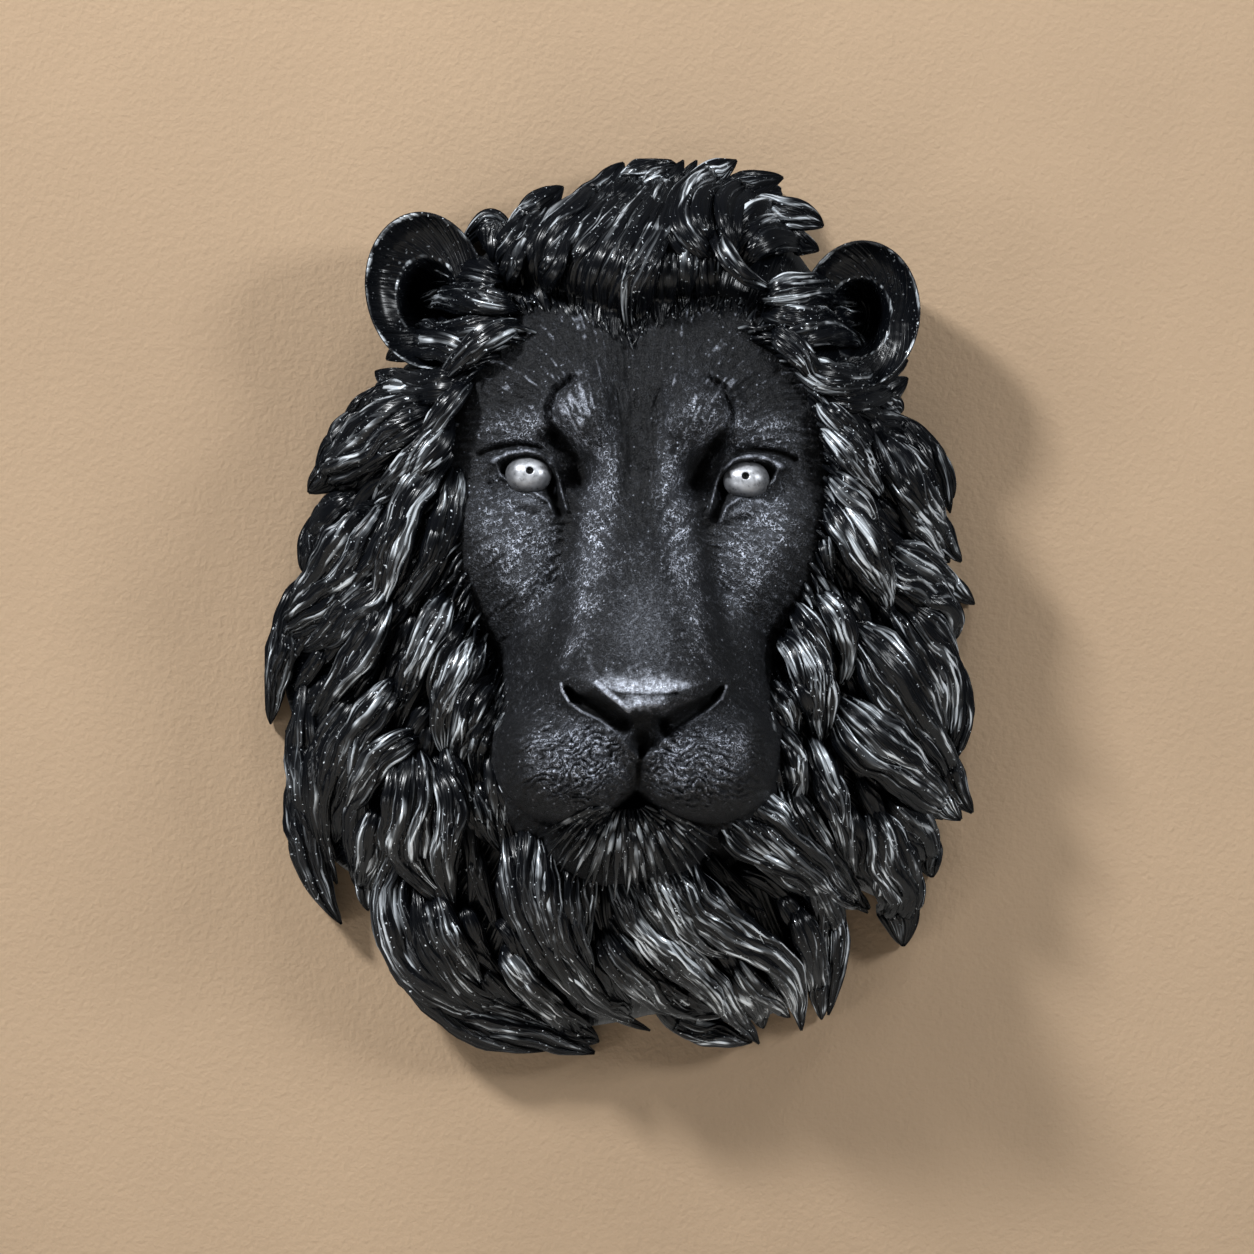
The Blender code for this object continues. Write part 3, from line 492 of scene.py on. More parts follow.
class Skin:
    """Grids of points gathered into one mesh, each with values for the material."""

    def __init__(self):
        self.places, self.quads, self.caps, self.worn, self.hair = [], [], [], [], []
        self.count = 0

    def add(self, rings, worn, hair, closed=True):
        """Adds rows by sides of (x, depth, z) points; closed ones run round a tube that gets two caps."""
        rows, sides = rings.shape[:2]
        places = placed(rings)
        index = self.count + np.arange(rows * sides).reshape(rows, sides)
        beside = np.roll(index, -1, 1)
        if not closed:
            index, beside = index[:, :-1], beside[:, :-1]
        quads = np.stack([index[:-1], beside[:-1], beside[1:], index[1:]], -1).reshape(-1, 4)
        caps = [index[0][::-1], index[-1]] if closed else []
        flat = places.reshape(-1, 3)
        corners = flat[quads - self.count] - flat.mean(0)
        facing = np.cross(corners[:, 1] - corners[:, 0], corners[:, 2] - corners[:, 0])
        volume = np.einsum("ij,ij->i", facing, corners[:, 0])
        if closed and volume.sum() < 0:
            quads, caps = quads[:, ::-1], [cap[::-1] for cap in caps]
        self.places.append(flat)
        self.quads.append(quads)
        self.caps += caps
        self.worn.append(np.broadcast_to(worn, rings.shape[:2]).reshape(-1))
        self.hair.append(np.broadcast_to(hair, (rows, sides, 3)).reshape(-1, 3))
        self.count += rows * sides

    def piece(self, name, material):
        """The finished object, which rides on the casting's body."""
        quads = np.concatenate(self.quads)
        loops = np.concatenate([quads.reshape(-1)] + self.caps)
        sizes = np.concatenate([np.full(len(quads), 4)] + [[len(cap)] for cap in self.caps]).astype(int)
        mesh = bpy.data.meshes.new(name)
        mesh.vertices.add(self.count)
        mesh.vertices.foreach_set("co", np.concatenate(self.places).astype(np.float32).reshape(-1))
        mesh.loops.add(len(loops))
        mesh.loops.foreach_set("vertex_index", loops.astype(np.int32))
        mesh.polygons.add(len(sizes))
        mesh.polygons.foreach_set("loop_start", np.concatenate([[0], np.cumsum(sizes)[:-1]]).astype(np.int32))
        mesh.update(calc_edges=True)
        mesh.shade_smooth()
        worn = mesh.attributes.new("worn", "FLOAT", "POINT")
        worn.data.foreach_set("value", np.concatenate(self.worn).astype(np.float32))
        hair = mesh.attributes.new("hair", "FLOAT_VECTOR", "POINT")
        hair.data.foreach_set("vector", np.concatenate(self.hair).astype(np.float32).reshape(-1))
        mesh.materials.append(material)
        made = bpy.data.objects.new(name, mesh)
        bpy.context.scene.collection.objects.link(made)
        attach(made, "root")
        return made


def lock_line(row, u, taper, rise_power, bury, hug):
    """The middle line of a lock, with its sideways and outward directions and its half sizes."""
    root_x, root_z, tip_x, tip_z, width, bow, wave, lift = row
    dx, dz = tip_x - root_x, tip_z - root_z
    aside = bow * 4 * u * (1 - u) + wave * np.sin(2 * math.pi * u)
    x, z = root_x + dx * u - dz * aside, root_z + dz * u + dx * aside
    rise = np.sin(math.pi * np.clip(u, 0, 1) ** rise_power)
    buried = np.clip(1 - u / 0.18, 0, 1) ** 1.5
    depth = bed_depth(x, z) + lift * (0.15 + 0.85 * rise) - 3 * u - bury * buried
    if hug:
        near = np.clip(1 - u / hug, 0, 1)
        near = near * near * (3 - 2 * near)
        depth = depth + (np.maximum(face_depth(x, z) - 1.0, depth - 12) - depth) * near
    line = np.stack([x, -depth, z], -1)
    ahead = np.gradient(line, axis=0)
    ahead /= np.linalg.norm(ahead, axis=1, keepdims=True)
    out = outward(x, z)
    across = np.cross(ahead, out)
    across /= np.linalg.norm(across, axis=1, keepdims=True)
    out = np.cross(across, ahead)
    opening = np.sin(0.5 * math.pi * np.minimum(1, u / 0.34))
    size = (0.26 + 0.74 * opening) * np.maximum(1 - u**taper, SMALLEST_RING) ** 0.75
    return line, across, out, size * width / 2, size * width * 0.36


def strands(width, chance):
    """The columns of a lock's section: places from 0 to 1, strand and bundle heights, owners and counts."""
    bundles = max(2, round(width / BUNDLE_WIDTH))
    shares = chance.uniform(0.7, 1.3, bundles)
    gates = np.concatenate([[0], np.cumsum(shares)]) / shares.sum()
    columns = []
    strand = 0
    for b in range(bundles):
        count = max(2, round(width * (gates[b + 1] - gates[b]) / STRAND_WIDTH))
        widths = chance.uniform(0.65, 1.35, count)
        edges = np.concatenate([[0], np.cumsum(widths)]) / widths.sum()
        for k in range(count):
            for part, rise in ((0.0, 0.0), (0.3, 0.9), (0.68, 0.95)):
                within = edges[k] + (edges[k + 1] - edges[k]) * part
                place = gates[b] + (gates[b + 1] - gates[b]) * within
                columns.append((place, rise, 1 - abs(2 * within - 1) ** 2.4, strand, b))
            strand += 1
    columns.append((1.0, 0.0, 0.0, strand - 1, bundles - 1))
    place, height, bundle, owner, group = np.array(columns).T
    return place, height, bundle, owner.astype(int), group.astype(int), strand, bundles


def add_lock(skin, row, seed, steps, taper=2.8, shine_most=1.0, rise_power=0.8, bury=7.0, hug=0.0):
    """One lock of hair: bundles of rounded strands with sharp valleys between them.

    A low lock runs straight back to the wall, and a raised one is closed underneath. Where hug isn't 0, that
    share of the lock from its root lies close to the face.
    """
    chance = np.random.default_rng(seed)
    width, lift = row[4], row[7]
    u = 1 - (1 - np.linspace(0, 1, steps)) ** 1.25
    line, ahead_across, out, half, thick = lock_line(row, u, taper, rise_power, bury, hug)
    place, height, bundle, owner, group, count, bundles = strands(width, chance)
    gain = chance.uniform(0.35, 1.3, count)
    phase, pace = chance.uniform(0, 2 * math.pi, count), chance.uniform(0.6, 1.8, count)
    grow = gain[owner] * (1 + 0.35 * np.sin(2 * math.pi * u[:, None] * pace[owner] + phase[owner]))
    swing, rate = chance.uniform(0, 2 * math.pi, bundles), chance.uniform(0.5, 1.3, bundles)
    heave = 1 + 0.45 * np.sin(2 * math.pi * u[:, None] * rate[group] + swing[group])
    turn_over = chance.uniform(-0.10, 0.10) * (2 * u - 1)
    sway = turn_over + 0.11 * np.sin(2 * math.pi * (u * chance.uniform(0.7, 1.5) + chance.random()))
    length = math.hypot(row[2] - row[0], row[3] - row[1])
    wander = 0.5 / width * np.sin(2 * math.pi * u[:, None] * length / 27 + swing[group])
    wander = wander + 0.25 / width * np.sin(2 * math.pi * u[:, None] * length / 13 + phase[owner])
    spread = 4 * place[None] * (1 - place[None])
    place = place[None] + (sway[:, None] + wander) * spread
    turn = math.pi * (place - 0.5) * 1.06
    narrowing = (half[:, None] / half.max()) ** 0.6
    relief = height[None] * grow * STRAND_HEIGHT * narrowing
    relief = relief + bundle[None] * heave * BUNDLE_HEIGHT * width * narrowing
    ragged = []
    for _ in range(2):
        slow, quick = [2 * math.pi * (u * length / pitch + chance.random()) for pitch in (33, 14)]
        ragged.append(0.11 * np.sin(slow) + 0.06 * np.sin(quick))
    right_side = 0.5 + 0.5 * np.sin(turn)
    edges = 1 + right_side * ragged[0][:, None] + (1 - right_side) * ragged[1][:, None]
    wide = np.sin(turn) * (half[:, None] * edges + 0.6 * relief)
    deep = np.cos(turn) * (thick[:, None] - 0.06 * width + relief) + relief * 0.15
    points = line[:, None] + ahead_across[:, None] * wide[..., None] + out[:, None] * deep[..., None]
    points = np.stack([points[..., 0], -points[..., 1], points[..., 2]], -1)
    run = np.concatenate([[0], np.cumsum(np.linalg.norm(np.diff(line, axis=0), axis=1))])
    drift = 2 * math.pi * u[:, None] * length / 45 * pace[owner] + 2 * phase[owner]
    rub_and_painted_light = chance.uniform(-0.38, 0.45, count)[owner] + 0.20 * np.sin(drift)
    swath = 0.5 + 0.5 * np.sin(2 * math.pi * (0.9 * u[:, None] + 1.4 * bundle[None] + chance.random()))
    # The silver thins out towards root and tip; on the crest it fades over a longer stretch and towards the
    # hairline as a painted shade under the crest.
    ends = np.clip(u / (0.18 + 0.6 * hug), 0, 1) * np.clip((1 - u) / 0.10, 0.2, 1)
    if hug and row[3] > row[1]:
        ends = ends * np.clip((line[:, 2] - 132) / 26, 0.1, 1)
    rub_and_painted_light = np.clip(0.36 + rub_and_painted_light + 0.55 * (swath - 0.5), 0, 1) * (0.45 + 0.55 * bundle[None])
    rub_and_painted_light = shine_most * rub_and_painted_light * ends[:, None] * np.clip(np.cos(turn) * 1.5, 0, 1)
    worn = np.broadcast_to(height[None], rub_and_painted_light.shape)
    if lift < LOW_LIFT:
        low = points[:, [-1, -1, 0, 0]].copy()
        middle = points.mean(1)
        for k, (share, draw) in enumerate(((0.5, 0.02), (0.0, 0.12), (0.0, 0.12), (0.5, 0.02))):
            low[:, k, 1] = LOCK_BACK + np.maximum(low[:, k, 1] - LOCK_BACK, 0) * share
            low[:, k, [0, 2]] += (middle[:, [0, 2]] - low[:, k, [0, 2]]) * draw
    else:
        under = np.array([0.62, 1.0, 1.38]) * math.pi
        under = under[None] + 0 * u[:, None]
        wide, deep = np.sin(under) * half[:, None], 0.75 * np.cos(under) * thick[:, None]
        low = line[:, None] + ahead_across[:, None] * wide[..., None] + out[:, None] * deep[..., None]
        low = np.stack([low[..., 0], -low[..., 1], low[..., 2]], -1)
    extra = low.shape[1]
    rings = np.concatenate([points, low], 1)
    rings[..., 1] = np.maximum(rings[..., 1], LOCK_BACK)
    worn = np.concatenate([np.clip(worn, 0, 1), np.zeros((len(u), extra))], 1)
    hair = np.zeros(rings.shape)
    hair[..., 0] = np.concatenate([place, np.ones((len(u), extra))], 1) * width * 1.4 + seed % 97 * 31
    hair[..., 1] = run[:, None] + seed % 89 * 170
    hair[..., :rub_and_painted_light.shape[1], 2] = rub_and_painted_light
    skin.add(rings, worn, hair)


def point_on(row, u):
    """A point of a lock's middle line and the unit vector to its left there."""
    root_x, root_z, tip_x, tip_z, _, bow, wave, _ = row

    def at(t):
        dx, dz = tip_x - root_x, tip_z - root_z
        aside = bow * 4 * t * (1 - t) + wave * math.sin(2 * math.pi * t)
        return np.array([root_x + dx * t - dz * aside, root_z + dz * t + dx * aside])

    ahead = at(u + 0.02) - at(u - 0.02)
    ahead /= np.hypot(*ahead)
    return at(u), np.array([-ahead[1], ahead[0]])


def tresses_of(row, seed):
    """Thinner locks that part from a lock along its sides and end beside its tip."""
    chance = np.random.default_rng(seed + 5000)
    root_x, root_z, tip_x, tip_z, width, bow, wave, lift = row
    length = math.hypot(tip_x - root_x, tip_z - root_z)
    for side in (-1, 1, 0):
        if length < 26 or width < 9 + 4 * (side == 0) or abs(bow) > 0.19 and lift > 13:
            continue
        start, stop = chance.uniform(0.12, 0.34), chance.uniform(0.80, 0.93)
        (ax, az), left_a = point_on(row, start)
        (bx, bz), left_b = point_on(row, stop)
        from_side = 0.27 * side + (side == 0) * chance.uniform(-0.2, 0.2)
        to_side = chance.uniform(0.10, 0.26) * side + (side == 0) * chance.uniform(-0.1, 0.1)
        ax, az = np.array([ax, az]) + left_a * width * from_side
        bx, bz = np.array([bx, bz]) + left_b * width * to_side
        share = stop - start
        twist = wave * share * 0.5 + chance.uniform(-0.04, 0.04)
        yield (
            ax, az, bx, bz, width * chance.uniform(0.34, 0.50), bow * share, twist,
            lift + chance.uniform(0.5, 2.5) + 1.5 * (side == 0),
        )


def mane_piece(name, rows, first_seed, material, taper=2.8, rise_power=0.8, bury=7.0, hug=0.0, shine=1.0):
    """The locks of one part of the mane; a higher taper keeps them wide for longer."""
    skin = Skin()
    for k, row in enumerate(rows):
        seed = first_seed + 10 * k
        # Low locks get less silver, partly as they are rubbed less and partly as a painted shade where they
        # lie below the raised ones.
        shine_most = shine * (0.55 + 0.03 * row[7]) * (0.70 + 0.56 * (k * 0.618 % 1))
        add_lock(skin, row, seed, LOCK_STEPS, taper, shine_most, rise_power, bury, hug)
        for n, tress in enumerate(tresses_of(row, seed)):
            add_lock(skin, tress, seed + 1 + n, TRESS_STEPS, taper, shine_most, rise_power, bury, 0.6 * hug)
    return skin.piece(name, material)


def under_piece(material):
    """Thin locks close to the bed, each lying the way of the big lock nearest to it."""
    skin = Skin()
    chance = np.random.default_rng(404)
    places, ways = [], []
    for row in LOCKS_LEFT + LOCKS_BELOW + LOCKS_RIGHT:
        for u in (0.25, 0.5, 0.75):
            place, left = point_on(row, u)
            places.append(place)
            ways.append((left[1], -left[0]))
    places, ways = np.array(places), np.array(ways)
    for ring, (share, count) in enumerate(((0.14, 38), (0.40, 44), (0.64, 48), (0.86, 48))):
        for k in range(count):
            angle = math.radians(132 + 276 * (k + chance.uniform(0.25, 0.75)) / count)
            angle = math.atan2(math.sin(angle), math.cos(angle))
            inner, outer = reach(FACE_OUTLINE, angle), reach(MANE_OUTLINE, angle)
            spot = (inner + (outer - inner) * share) * np.array([math.cos(angle), math.sin(angle)])
            nearest = np.argsort(np.hypot(*(places - spot).T))[:3]
            way = ways[nearest].sum(0)
            way /= np.hypot(*way)
            length = chance.uniform(34, 48)
            for _ in range(6):
                tip = spot + 0.55 * length * way
                if np.hypot(*tip) < 0.985 * reach(MANE_OUTLINE, math.atan2(tip[1], tip[0])):
                    break
                length *= 0.82
            root = spot - 0.45 * length * way
            row = (*root, *tip, chance.uniform(7, 10), chance.uniform(-0.1, 0.1), 0, chance.uniform(0, 3))
            # They get little silver, partly as they lie low and partly as a painted shade in the gaps between
            # the big locks.
            add_lock(skin, row, 6000 + 100 * ring + k, UNDER_STEPS, shine_most=0.22)
    return skin.piece("mane_under", material)


def bed_piece(material):
    """The ground of the mane between its locks, grooved from the face outwards."""
    spokes, rows = 240, 30
    angle = np.linspace(0, 2 * math.pi, spokes, endpoint=False)
    outer = reach(MANE_OUTLINE, (angle + math.pi) % (2 * math.pi) - math.pi)
    rings, worn, hair = [], [], []
    for share in np.concatenate([np.linspace(0.3, 0.99, rows), [1.0]]):
        x, z = share * outer * np.cos(angle), share * outer * np.sin(angle)
        comb = np.abs(((angle * 26 + 1.3 * np.sin(3 * angle + 4 * share)) % 1) * 2 - 1)
        ridge = np.sqrt(np.clip(1 - comb**2, 0, 1))
        depth = bed_depth(x, z) - 9 + 2.4 * ridge
        rings.append(np.stack([x, depth, z], -1))
        worn.append(ridge)
        hair.append(np.stack([angle * 110, share * outer, np.full(spokes, 0.12)], -1))
    for inward in (1.0, 0.99, 0.5, 0.03):
        rings.append(rings[rows] * np.array([inward, 0, inward]) + np.array([0, BACK, 0]))
        worn.append(0 * ridge)
        hair.append(np.zeros((spokes, 3)))
    skin = Skin()
    skin.add(np.array(rings), np.array(worn), np.array(hair))
    return skin.piece("mane_bed", material)


def spaced(low, fine_low, fine_high, high):
    """Grid lines from low to high that lie closer together between fine_low and fine_high."""
    return np.concatenate([
        np.arange(low, fine_low, COARSE_PITCH),
        np.arange(fine_low, fine_high, FINE_PITCH),
        np.arange(fine_high, high, COARSE_PITCH),
    ])


def face_piece(material):
    """The whole face as a fine grid pushed out to its carved depth."""
    across, up = spaced(-98, -66, 66, 98), spaced(-134, -98, 100, 144)
    x, z = np.meshgrid(across, up)
    depth = face_depth(x, z)
    fur = combed_noise(x, z, 1.15, 5, 1)
    side = np.abs(x)
    brow = swell(side, z, (27, 84), (15, 17))
    cheek = np.exp(-(((side - 52 + 0.35 * (26 - z)) / 17) ** 2) - ((z - 22) / 26) ** 2)
    flank = np.exp(-(((side - 17 - 0.15 * (40 - z)) / 7) ** 2) - ((z - 38) / 30) ** 2)
    socket = swell(side, z, (50, 76), (24, 9))
    bridge = nose_top(x, z) * np.clip((z + 44) / 14, 0, 1)
    pad = swell(side, z, (31, -75), (29, 21), power=6)
    wavy = 10 * value_noise(x, z, 8, 5) + 3 * value_noise(x, z, 2.6, 15)
    rows = (z + 60 + 0.35 * side - 0.15 * x + wavy) / 3.4
    wrinkle = np.abs((rows % 1) * 2 - 1) ** 0.8 * (0.25 + 0.75 * value_noise(x, z, 3.0, 6))
    bare = swell(x, z, (1, -50), (34, 15), power=4)
    strokes = combed_noise(x, z, 1.35, 14, 2)
    depth = depth + 1.4 * fur * (1 - 0.75 * bare) + 2.2 * brow * strokes + 4.2 * pad * wrinkle
    crown = np.clip((z - 74) / 22, 0, 1) * np.clip(np.abs(x) / 14 - 0.3, 0, 1)
    angle = np.arctan2(z, x)
    beyond = np.hypot(x, z) / reach(FACE_OUTLINE, angle)
    depth = np.maximum(depth - 150 * np.clip(beyond - 1.03, 0, 1), 12)
    # A painted sheen over the round top of the nose.
    bulb = np.exp(-(((x - 2) / 21) ** 2) - (np.abs(z + 13) / 30) ** 2.6)
    bright = np.maximum(shine(x, z), 0.28 * bulb)
    # Painted shade darkens the gaps between the pads' wrinkles and the face's hollows.
    gaps = pad * np.exp(-((wrinkle / 0.20) ** 2)) * np.clip(3 * value_noise(x, z, 5, 19) - 1.1, 0, 1)
    dark = np.maximum(painted_hollow_shade(x, z), 0.85 * gaps)
    worn = bright - dark * (1 - np.clip(1.6 * bright, 0, 1))
    # The density of the silver flecks is partly rubbed silver on the raised parts and partly painted
    # highlight where the face turns to the light: lit_pad on the lit part of each pad and stripe stronger on
    # the left side of the nose. Fewer flecks along the valleys are partly unrubbed and partly painted shade.
    lit_pad = np.exp(-(((side - 27) / 22) ** 4) - ((z + 69) / 14) ** 2)
    nose_side = [(18, 52), (20, 34), (24, 22), (21, 13), (24, 4), (26, -12), (33, -30)]
    stripe = stroke(side, z, nose_side, 2.6, 0.9)
    valley = stroke(side, z, [(33, 46), (31, 28), (33, 6), (38, -14), (44, -32)], 5.5, 0.7)
    valley = np.maximum(valley, swell(x, z, (0, 82), (8, 26), power=4))
    dense = 0.40 * brow + 0.9 * cheek + 0.85 * flank + 0.6 * socket + 0.10 * bridge + 1.05 * lit_pad
    dense = dense + 0.42 * stripe * (1 - 0.5 * (x > 0))
    everywhere = 0.07 + 0.06 * np.clip((60 - z) / 30, 0, 1)
    light = everywhere * (1 - 0.8 * valley) + dense * (1 - valley)
    light = light * (0.75 + 0.4 * value_noise(x, z, 9, 9)) * np.clip((1 - beyond) / 0.16, 0.1, 1)
    skin = Skin()
    stands = np.maximum(fur * (1 - pad), 1.5 * pad * wrinkle)
    hair = np.stack([light, stands, np.maximum(brow, 0.66 * crown) * strokes], -1)
    rings = np.stack([x, depth, z], -1)
    keep = beyond < 1.16
    skin.add(rings, np.clip(worn, -1, 1), hair, closed=False)
    kept = keep.reshape(-1)[skin.quads[0]].any(1)
    skin.quads[0] = skin.quads[0][kept][:, ::-1]
    return skin.piece("face", material)


# The rings of an eyeball from its pupil out: how far from the middle, and how far sunk
EYE_RINGS = [(0.2, 2.2), (1.3, 2.0), (1.65, 0.6), (1.9, 0.0)]
EYE_RINGS += [(float(r), 0.0) for r in np.linspace(2.4, 10.4, 15)] + [(10.45, 3.0)]
EYE_SIDES = 48


def eye_piece(material):
    """Both eyeballs, each with a drilled pupil."""
    skin = Skin()
    for side in (-1, 1):
        middle = (EYE[0] * side, EYE[1] - EYE_TILT * side)
        look = (middle[0] + 0.6 - 1.0 * (side > 0), middle[1] + 2.2)
        turn = np.linspace(0, 2 * math.pi, EYE_SIDES, endpoint=False)
        rings = []
        for r, sunk in EYE_RINGS:
            drift = np.clip(1 - r / 10, 0, 1)
            x = middle[0] + (look[0] - middle[0]) * drift + r * np.cos(turn)
            flat = 0.97 - 0.12 * np.clip(r / 10, 0, 1)
            z = middle[1] + (look[1] - middle[1]) * drift + r * np.sin(turn) * flat
            far = ((x - middle[0]) / 10.9) ** 2 + ((z - middle[1]) / 8.9) ** 2
            depth = EYE_DEPTH - 9 + 9 * np.sqrt(np.clip(1 - far, 0.0, 1)) - sunk
            rings.append(np.stack([x, depth, z], -1))
        hair = np.zeros((len(rings), EYE_SIDES, 3))
        hair[..., 0] = np.array([[r] for r, _ in EYE_RINGS])
        skin.add(np.array(rings), 0.0, hair)
    made = skin.piece("eyes", material)
    return made


def ear_piece(material):
    """Both ears as bowls with a thick rim, combed outwards inside."""
    skin = Skin()
    profile = np.array(EAR_PROFILE, float)
    at = np.linspace(0, len(profile) - 1, 56)
    shares, depths = (np.interp(at, np.arange(len(profile)), profile[:, k]) for k in (0, 1))
    for _ in range(3):
        shares[1:-1] = (shares[:-2] + 2 * shares[1:-1] + shares[2:]) / 4
        depths[1:-1] = (depths[:-2] + 2 * depths[1:-1] + depths[2:]) / 4
    turn = np.linspace(0, 2 * math.pi, 180, endpoint=False)
    round_ear = np.abs(turn - math.pi)
    shares, depths = np.append(shares, [0.6, 0.05]), np.append(depths, [BACK] * 2)
    for n, (floor, rim, half_width, half_height, lean) in enumerate(EARS):
        lean = math.radians(lean)
        rings, worn, hair = [], [], []
        for k, (share, depth) in enumerate(zip(shares, depths)):
            a, b = share * half_width * np.cos(turn), share * half_height * np.sin(turn)
            x = floor[0] + (rim[0] - floor[0]) * share + a * math.cos(lean) + b * math.sin(lean)
            z = floor[1] + (rim[1] - floor[1]) * share - a * math.sin(lean) + b * math.cos(lean)
            comb = value_noise(round_ear * 12, np.full_like(turn, k * 0.25), 0.8, 3 + n)
            inside = 1.0 if share > 0.35 and k < 38 else 0.3
            rings.append(np.stack([x, np.full_like(x, depth) + (comb - 0.5) * 0.35 * inside, z], -1))
            rim_edge = math.exp(-(((k - EAR_RIM_RING) / 2.0) ** 2))
            inner_edge = 0.8 * math.exp(-(((share - 0.54) / 0.025) ** 2)) * (k < 30)
            edge = max(rim_edge, inner_edge)
            worn.append(np.clip(0.3 + 0.5 * comb + 0.5 * edge, 0, 1))
            uneven = value_noise(round_ear * 9, np.full_like(turn, 3.0), 1.0, 21 + n)
            rub_and_painted_light = (0.09 + 0.80 * edge * uneven) * (k < EAR_FRONT_RINGS)
            lined = 14 * share * (k < EAR_FRONT_RINGS)
            hair.append(np.stack([round_ear * lined + 90 * n, np.full_like(turn, share * 30), rub_and_painted_light], -1))
        skin.add(np.array(rings), np.array(worn), np.array(hair))
    return skin.piece("ears", material)


def tuft_rings(path, depth, width, tall):
    """A small tress along a path of (x, z) points at the given depths."""
    u = np.linspace(0, 1, len(path))
    size = (0.55 + 0.45 * np.minimum(1, u / 0.3)) * np.maximum(1 - u**2.6, TUFT_TIP) * width / 2
    ahead = np.gradient(path, axis=0)
    ahead /= np.linalg.norm(ahead, axis=1, keepdims=True)
    turn = 2 * math.pi * np.arange(TUFT_SIDES) / TUFT_SIDES
    wide, deep = size[:, None] * np.cos(turn), tall * size[:, None] * np.sin(turn)
    return np.stack([
        path[:, :1] - ahead[:, 1:] * wide, depth[:, None] + deep, path[:, 1:] + ahead[:, :1] * wide,
    ], -1)


def add_tuft(skin, root, heading, length, width, bend, root_depth, tip_depth, seed, tall, steps, shine_most):
    """One short tress that starts along heading, in radians, and turns by bend on its way."""
    u = np.linspace(0, 1, steps)
    course = heading + bend * (u - 0.5)
    stride = np.stack([np.cos(course), np.sin(course)], -1) * length / (steps - 1)
    path = np.array(root) + np.concatenate([[[0, 0]], np.cumsum(stride[:-1], axis=0)])
    depth = root_depth(*path.T) * (1 - u) + tip_depth(*path.T) * u + 1.6 * np.sin(math.pi * u)
    rings = tuft_rings(path, depth, width, tall)
    top = np.clip(np.sin(2 * math.pi * np.arange(TUFT_SIDES) / TUFT_SIDES), 0, 1)
    hair = np.zeros(rings.shape)
    hair[..., 0] = np.arange(TUFT_SIDES) * width / 5
    hair[..., 1] = u[:, None] * length + seed % 83 * 170
    hair[..., 2] = shine_most * (0.66 + 0.34 * np.sin(2 * math.pi * u[:, None] * length / 23 + seed))
    skin.add(rings, np.broadcast_to(top, rings.shape[:2]), hair)


def fringe_piece(material):
    """Short tresses where the fur of the face turns into the mane."""
    skin = Skin()
    chance = np.random.default_rng(77)
    corners = np.array(FRINGE_EDGE, float)
    run = np.concatenate([[0], np.cumsum(np.hypot(*np.diff(corners, axis=0).T))])
    for layer, (inset, reach_mm, width) in enumerate(((-2, 17, 4.2), (2, 14, 3.2), (6, 11, 2.4))):
        count = 40
        for i in range(count):
            share = (i + chance.uniform(0.2, 0.8)) / count
            x, z = (np.interp(share * run[-1], run, corners[:, k]) for k in (0, 1))
            turn = np.interp(share, [0, 0.25, 1], [5, -42, -74])
            for side in (-1, 1):
                heading = math.radians(turn + chance.uniform(-12, 12))
                root = (side * (x - inset * math.cos(heading)), z - inset * math.sin(heading))
                heading = heading if side > 0 else math.pi - heading
                length, wide = reach_mm * chance.uniform(0.8, 1.2), width * chance.uniform(0.8, 1.2)
                add_tuft(
                    skin, root, heading, length, wide, -side * chance.uniform(0.1, 0.6),
                    lambda a, b: face_depth(a, b) + 0.4,
                    lambda a, b, n=layer: np.maximum(bed_depth(a, b), 10) + 8 + 3 * n,
                    10 * i + layer, 1.5, 10, 0.36,
                )
    hairline_x, hairline_z = np.array(HAIRLINE, float).T
    for i in range(150):
        x = -54 + 112 * (i + chance.random()) / 150
        z = np.interp(x, hairline_x, hairline_z) - chance.uniform(-3, 7)
        heading = math.radians(90 - (x - 2) * 0.5 + chance.uniform(-25, 25))
        add_tuft(
            skin, (x, z), heading, chance.uniform(7, 13), chance.uniform(1.1, 1.9), chance.uniform(-0.5, 0.5),
            lambda a, b: face_depth(a, b) - 0.2, lambda a, b: face_depth(a, b) + 0.5, 900 + i, 0.8, 7, 0.30,
        )
    return skin.piece("fringe", material)


# Each layer of the tuft under the mouth: how many tresses, how far they reach, their width and depth
CHIN_LAYERS = ((21, 43, 4.6, 103), (21, 37, 4.0, 106.5), (18, 28, 3.5, 109.5), (12, 19, 3.2, 112))


def chin_piece(material):
    """The tuft under the mouth: fans of fine tresses one over another."""
    skin = Skin()
    chance = np.random.default_rng(31)
    for layer, (count, reach_mm, width, depth) in enumerate(CHIN_LAYERS):
        for i in range(count):
            angle = math.radians(-163 + 146 * (i + chance.uniform(0.3, 0.7)) / count)
            start = 6 + 5 * (layer < 2)
            aside, down = math.cos(angle), math.sin(angle)
            root = (CHIN_ROOT[0] + start * 1.5 * aside, CHIN_ROOT[1] + start * 0.4 * down)
            tip = (CHIN_ROOT[0] + reach_mm * 1.04 * aside, CHIN_ROOT[1] + reach_mm * down)
            heading = math.atan2(tip[1] - root[1], tip[0] - root[0])
            length = math.dist(root, tip) * chance.uniform(0.92, 1.05)
            add_tuft(
                skin, root, heading, length, width * chance.uniform(0.85, 1.15), chance.uniform(-0.5, 0.5),
                lambda a, b, d=depth: np.maximum(face_depth(a, b) + 1, d),
                lambda a, b, d=depth: np.maximum(face_depth(a, b) + 1.5, d - 14),
                2000 + 40 * layer + i, 1.7, 14, 0.38,
            )
    return skin.piece("chin_tuft", material)


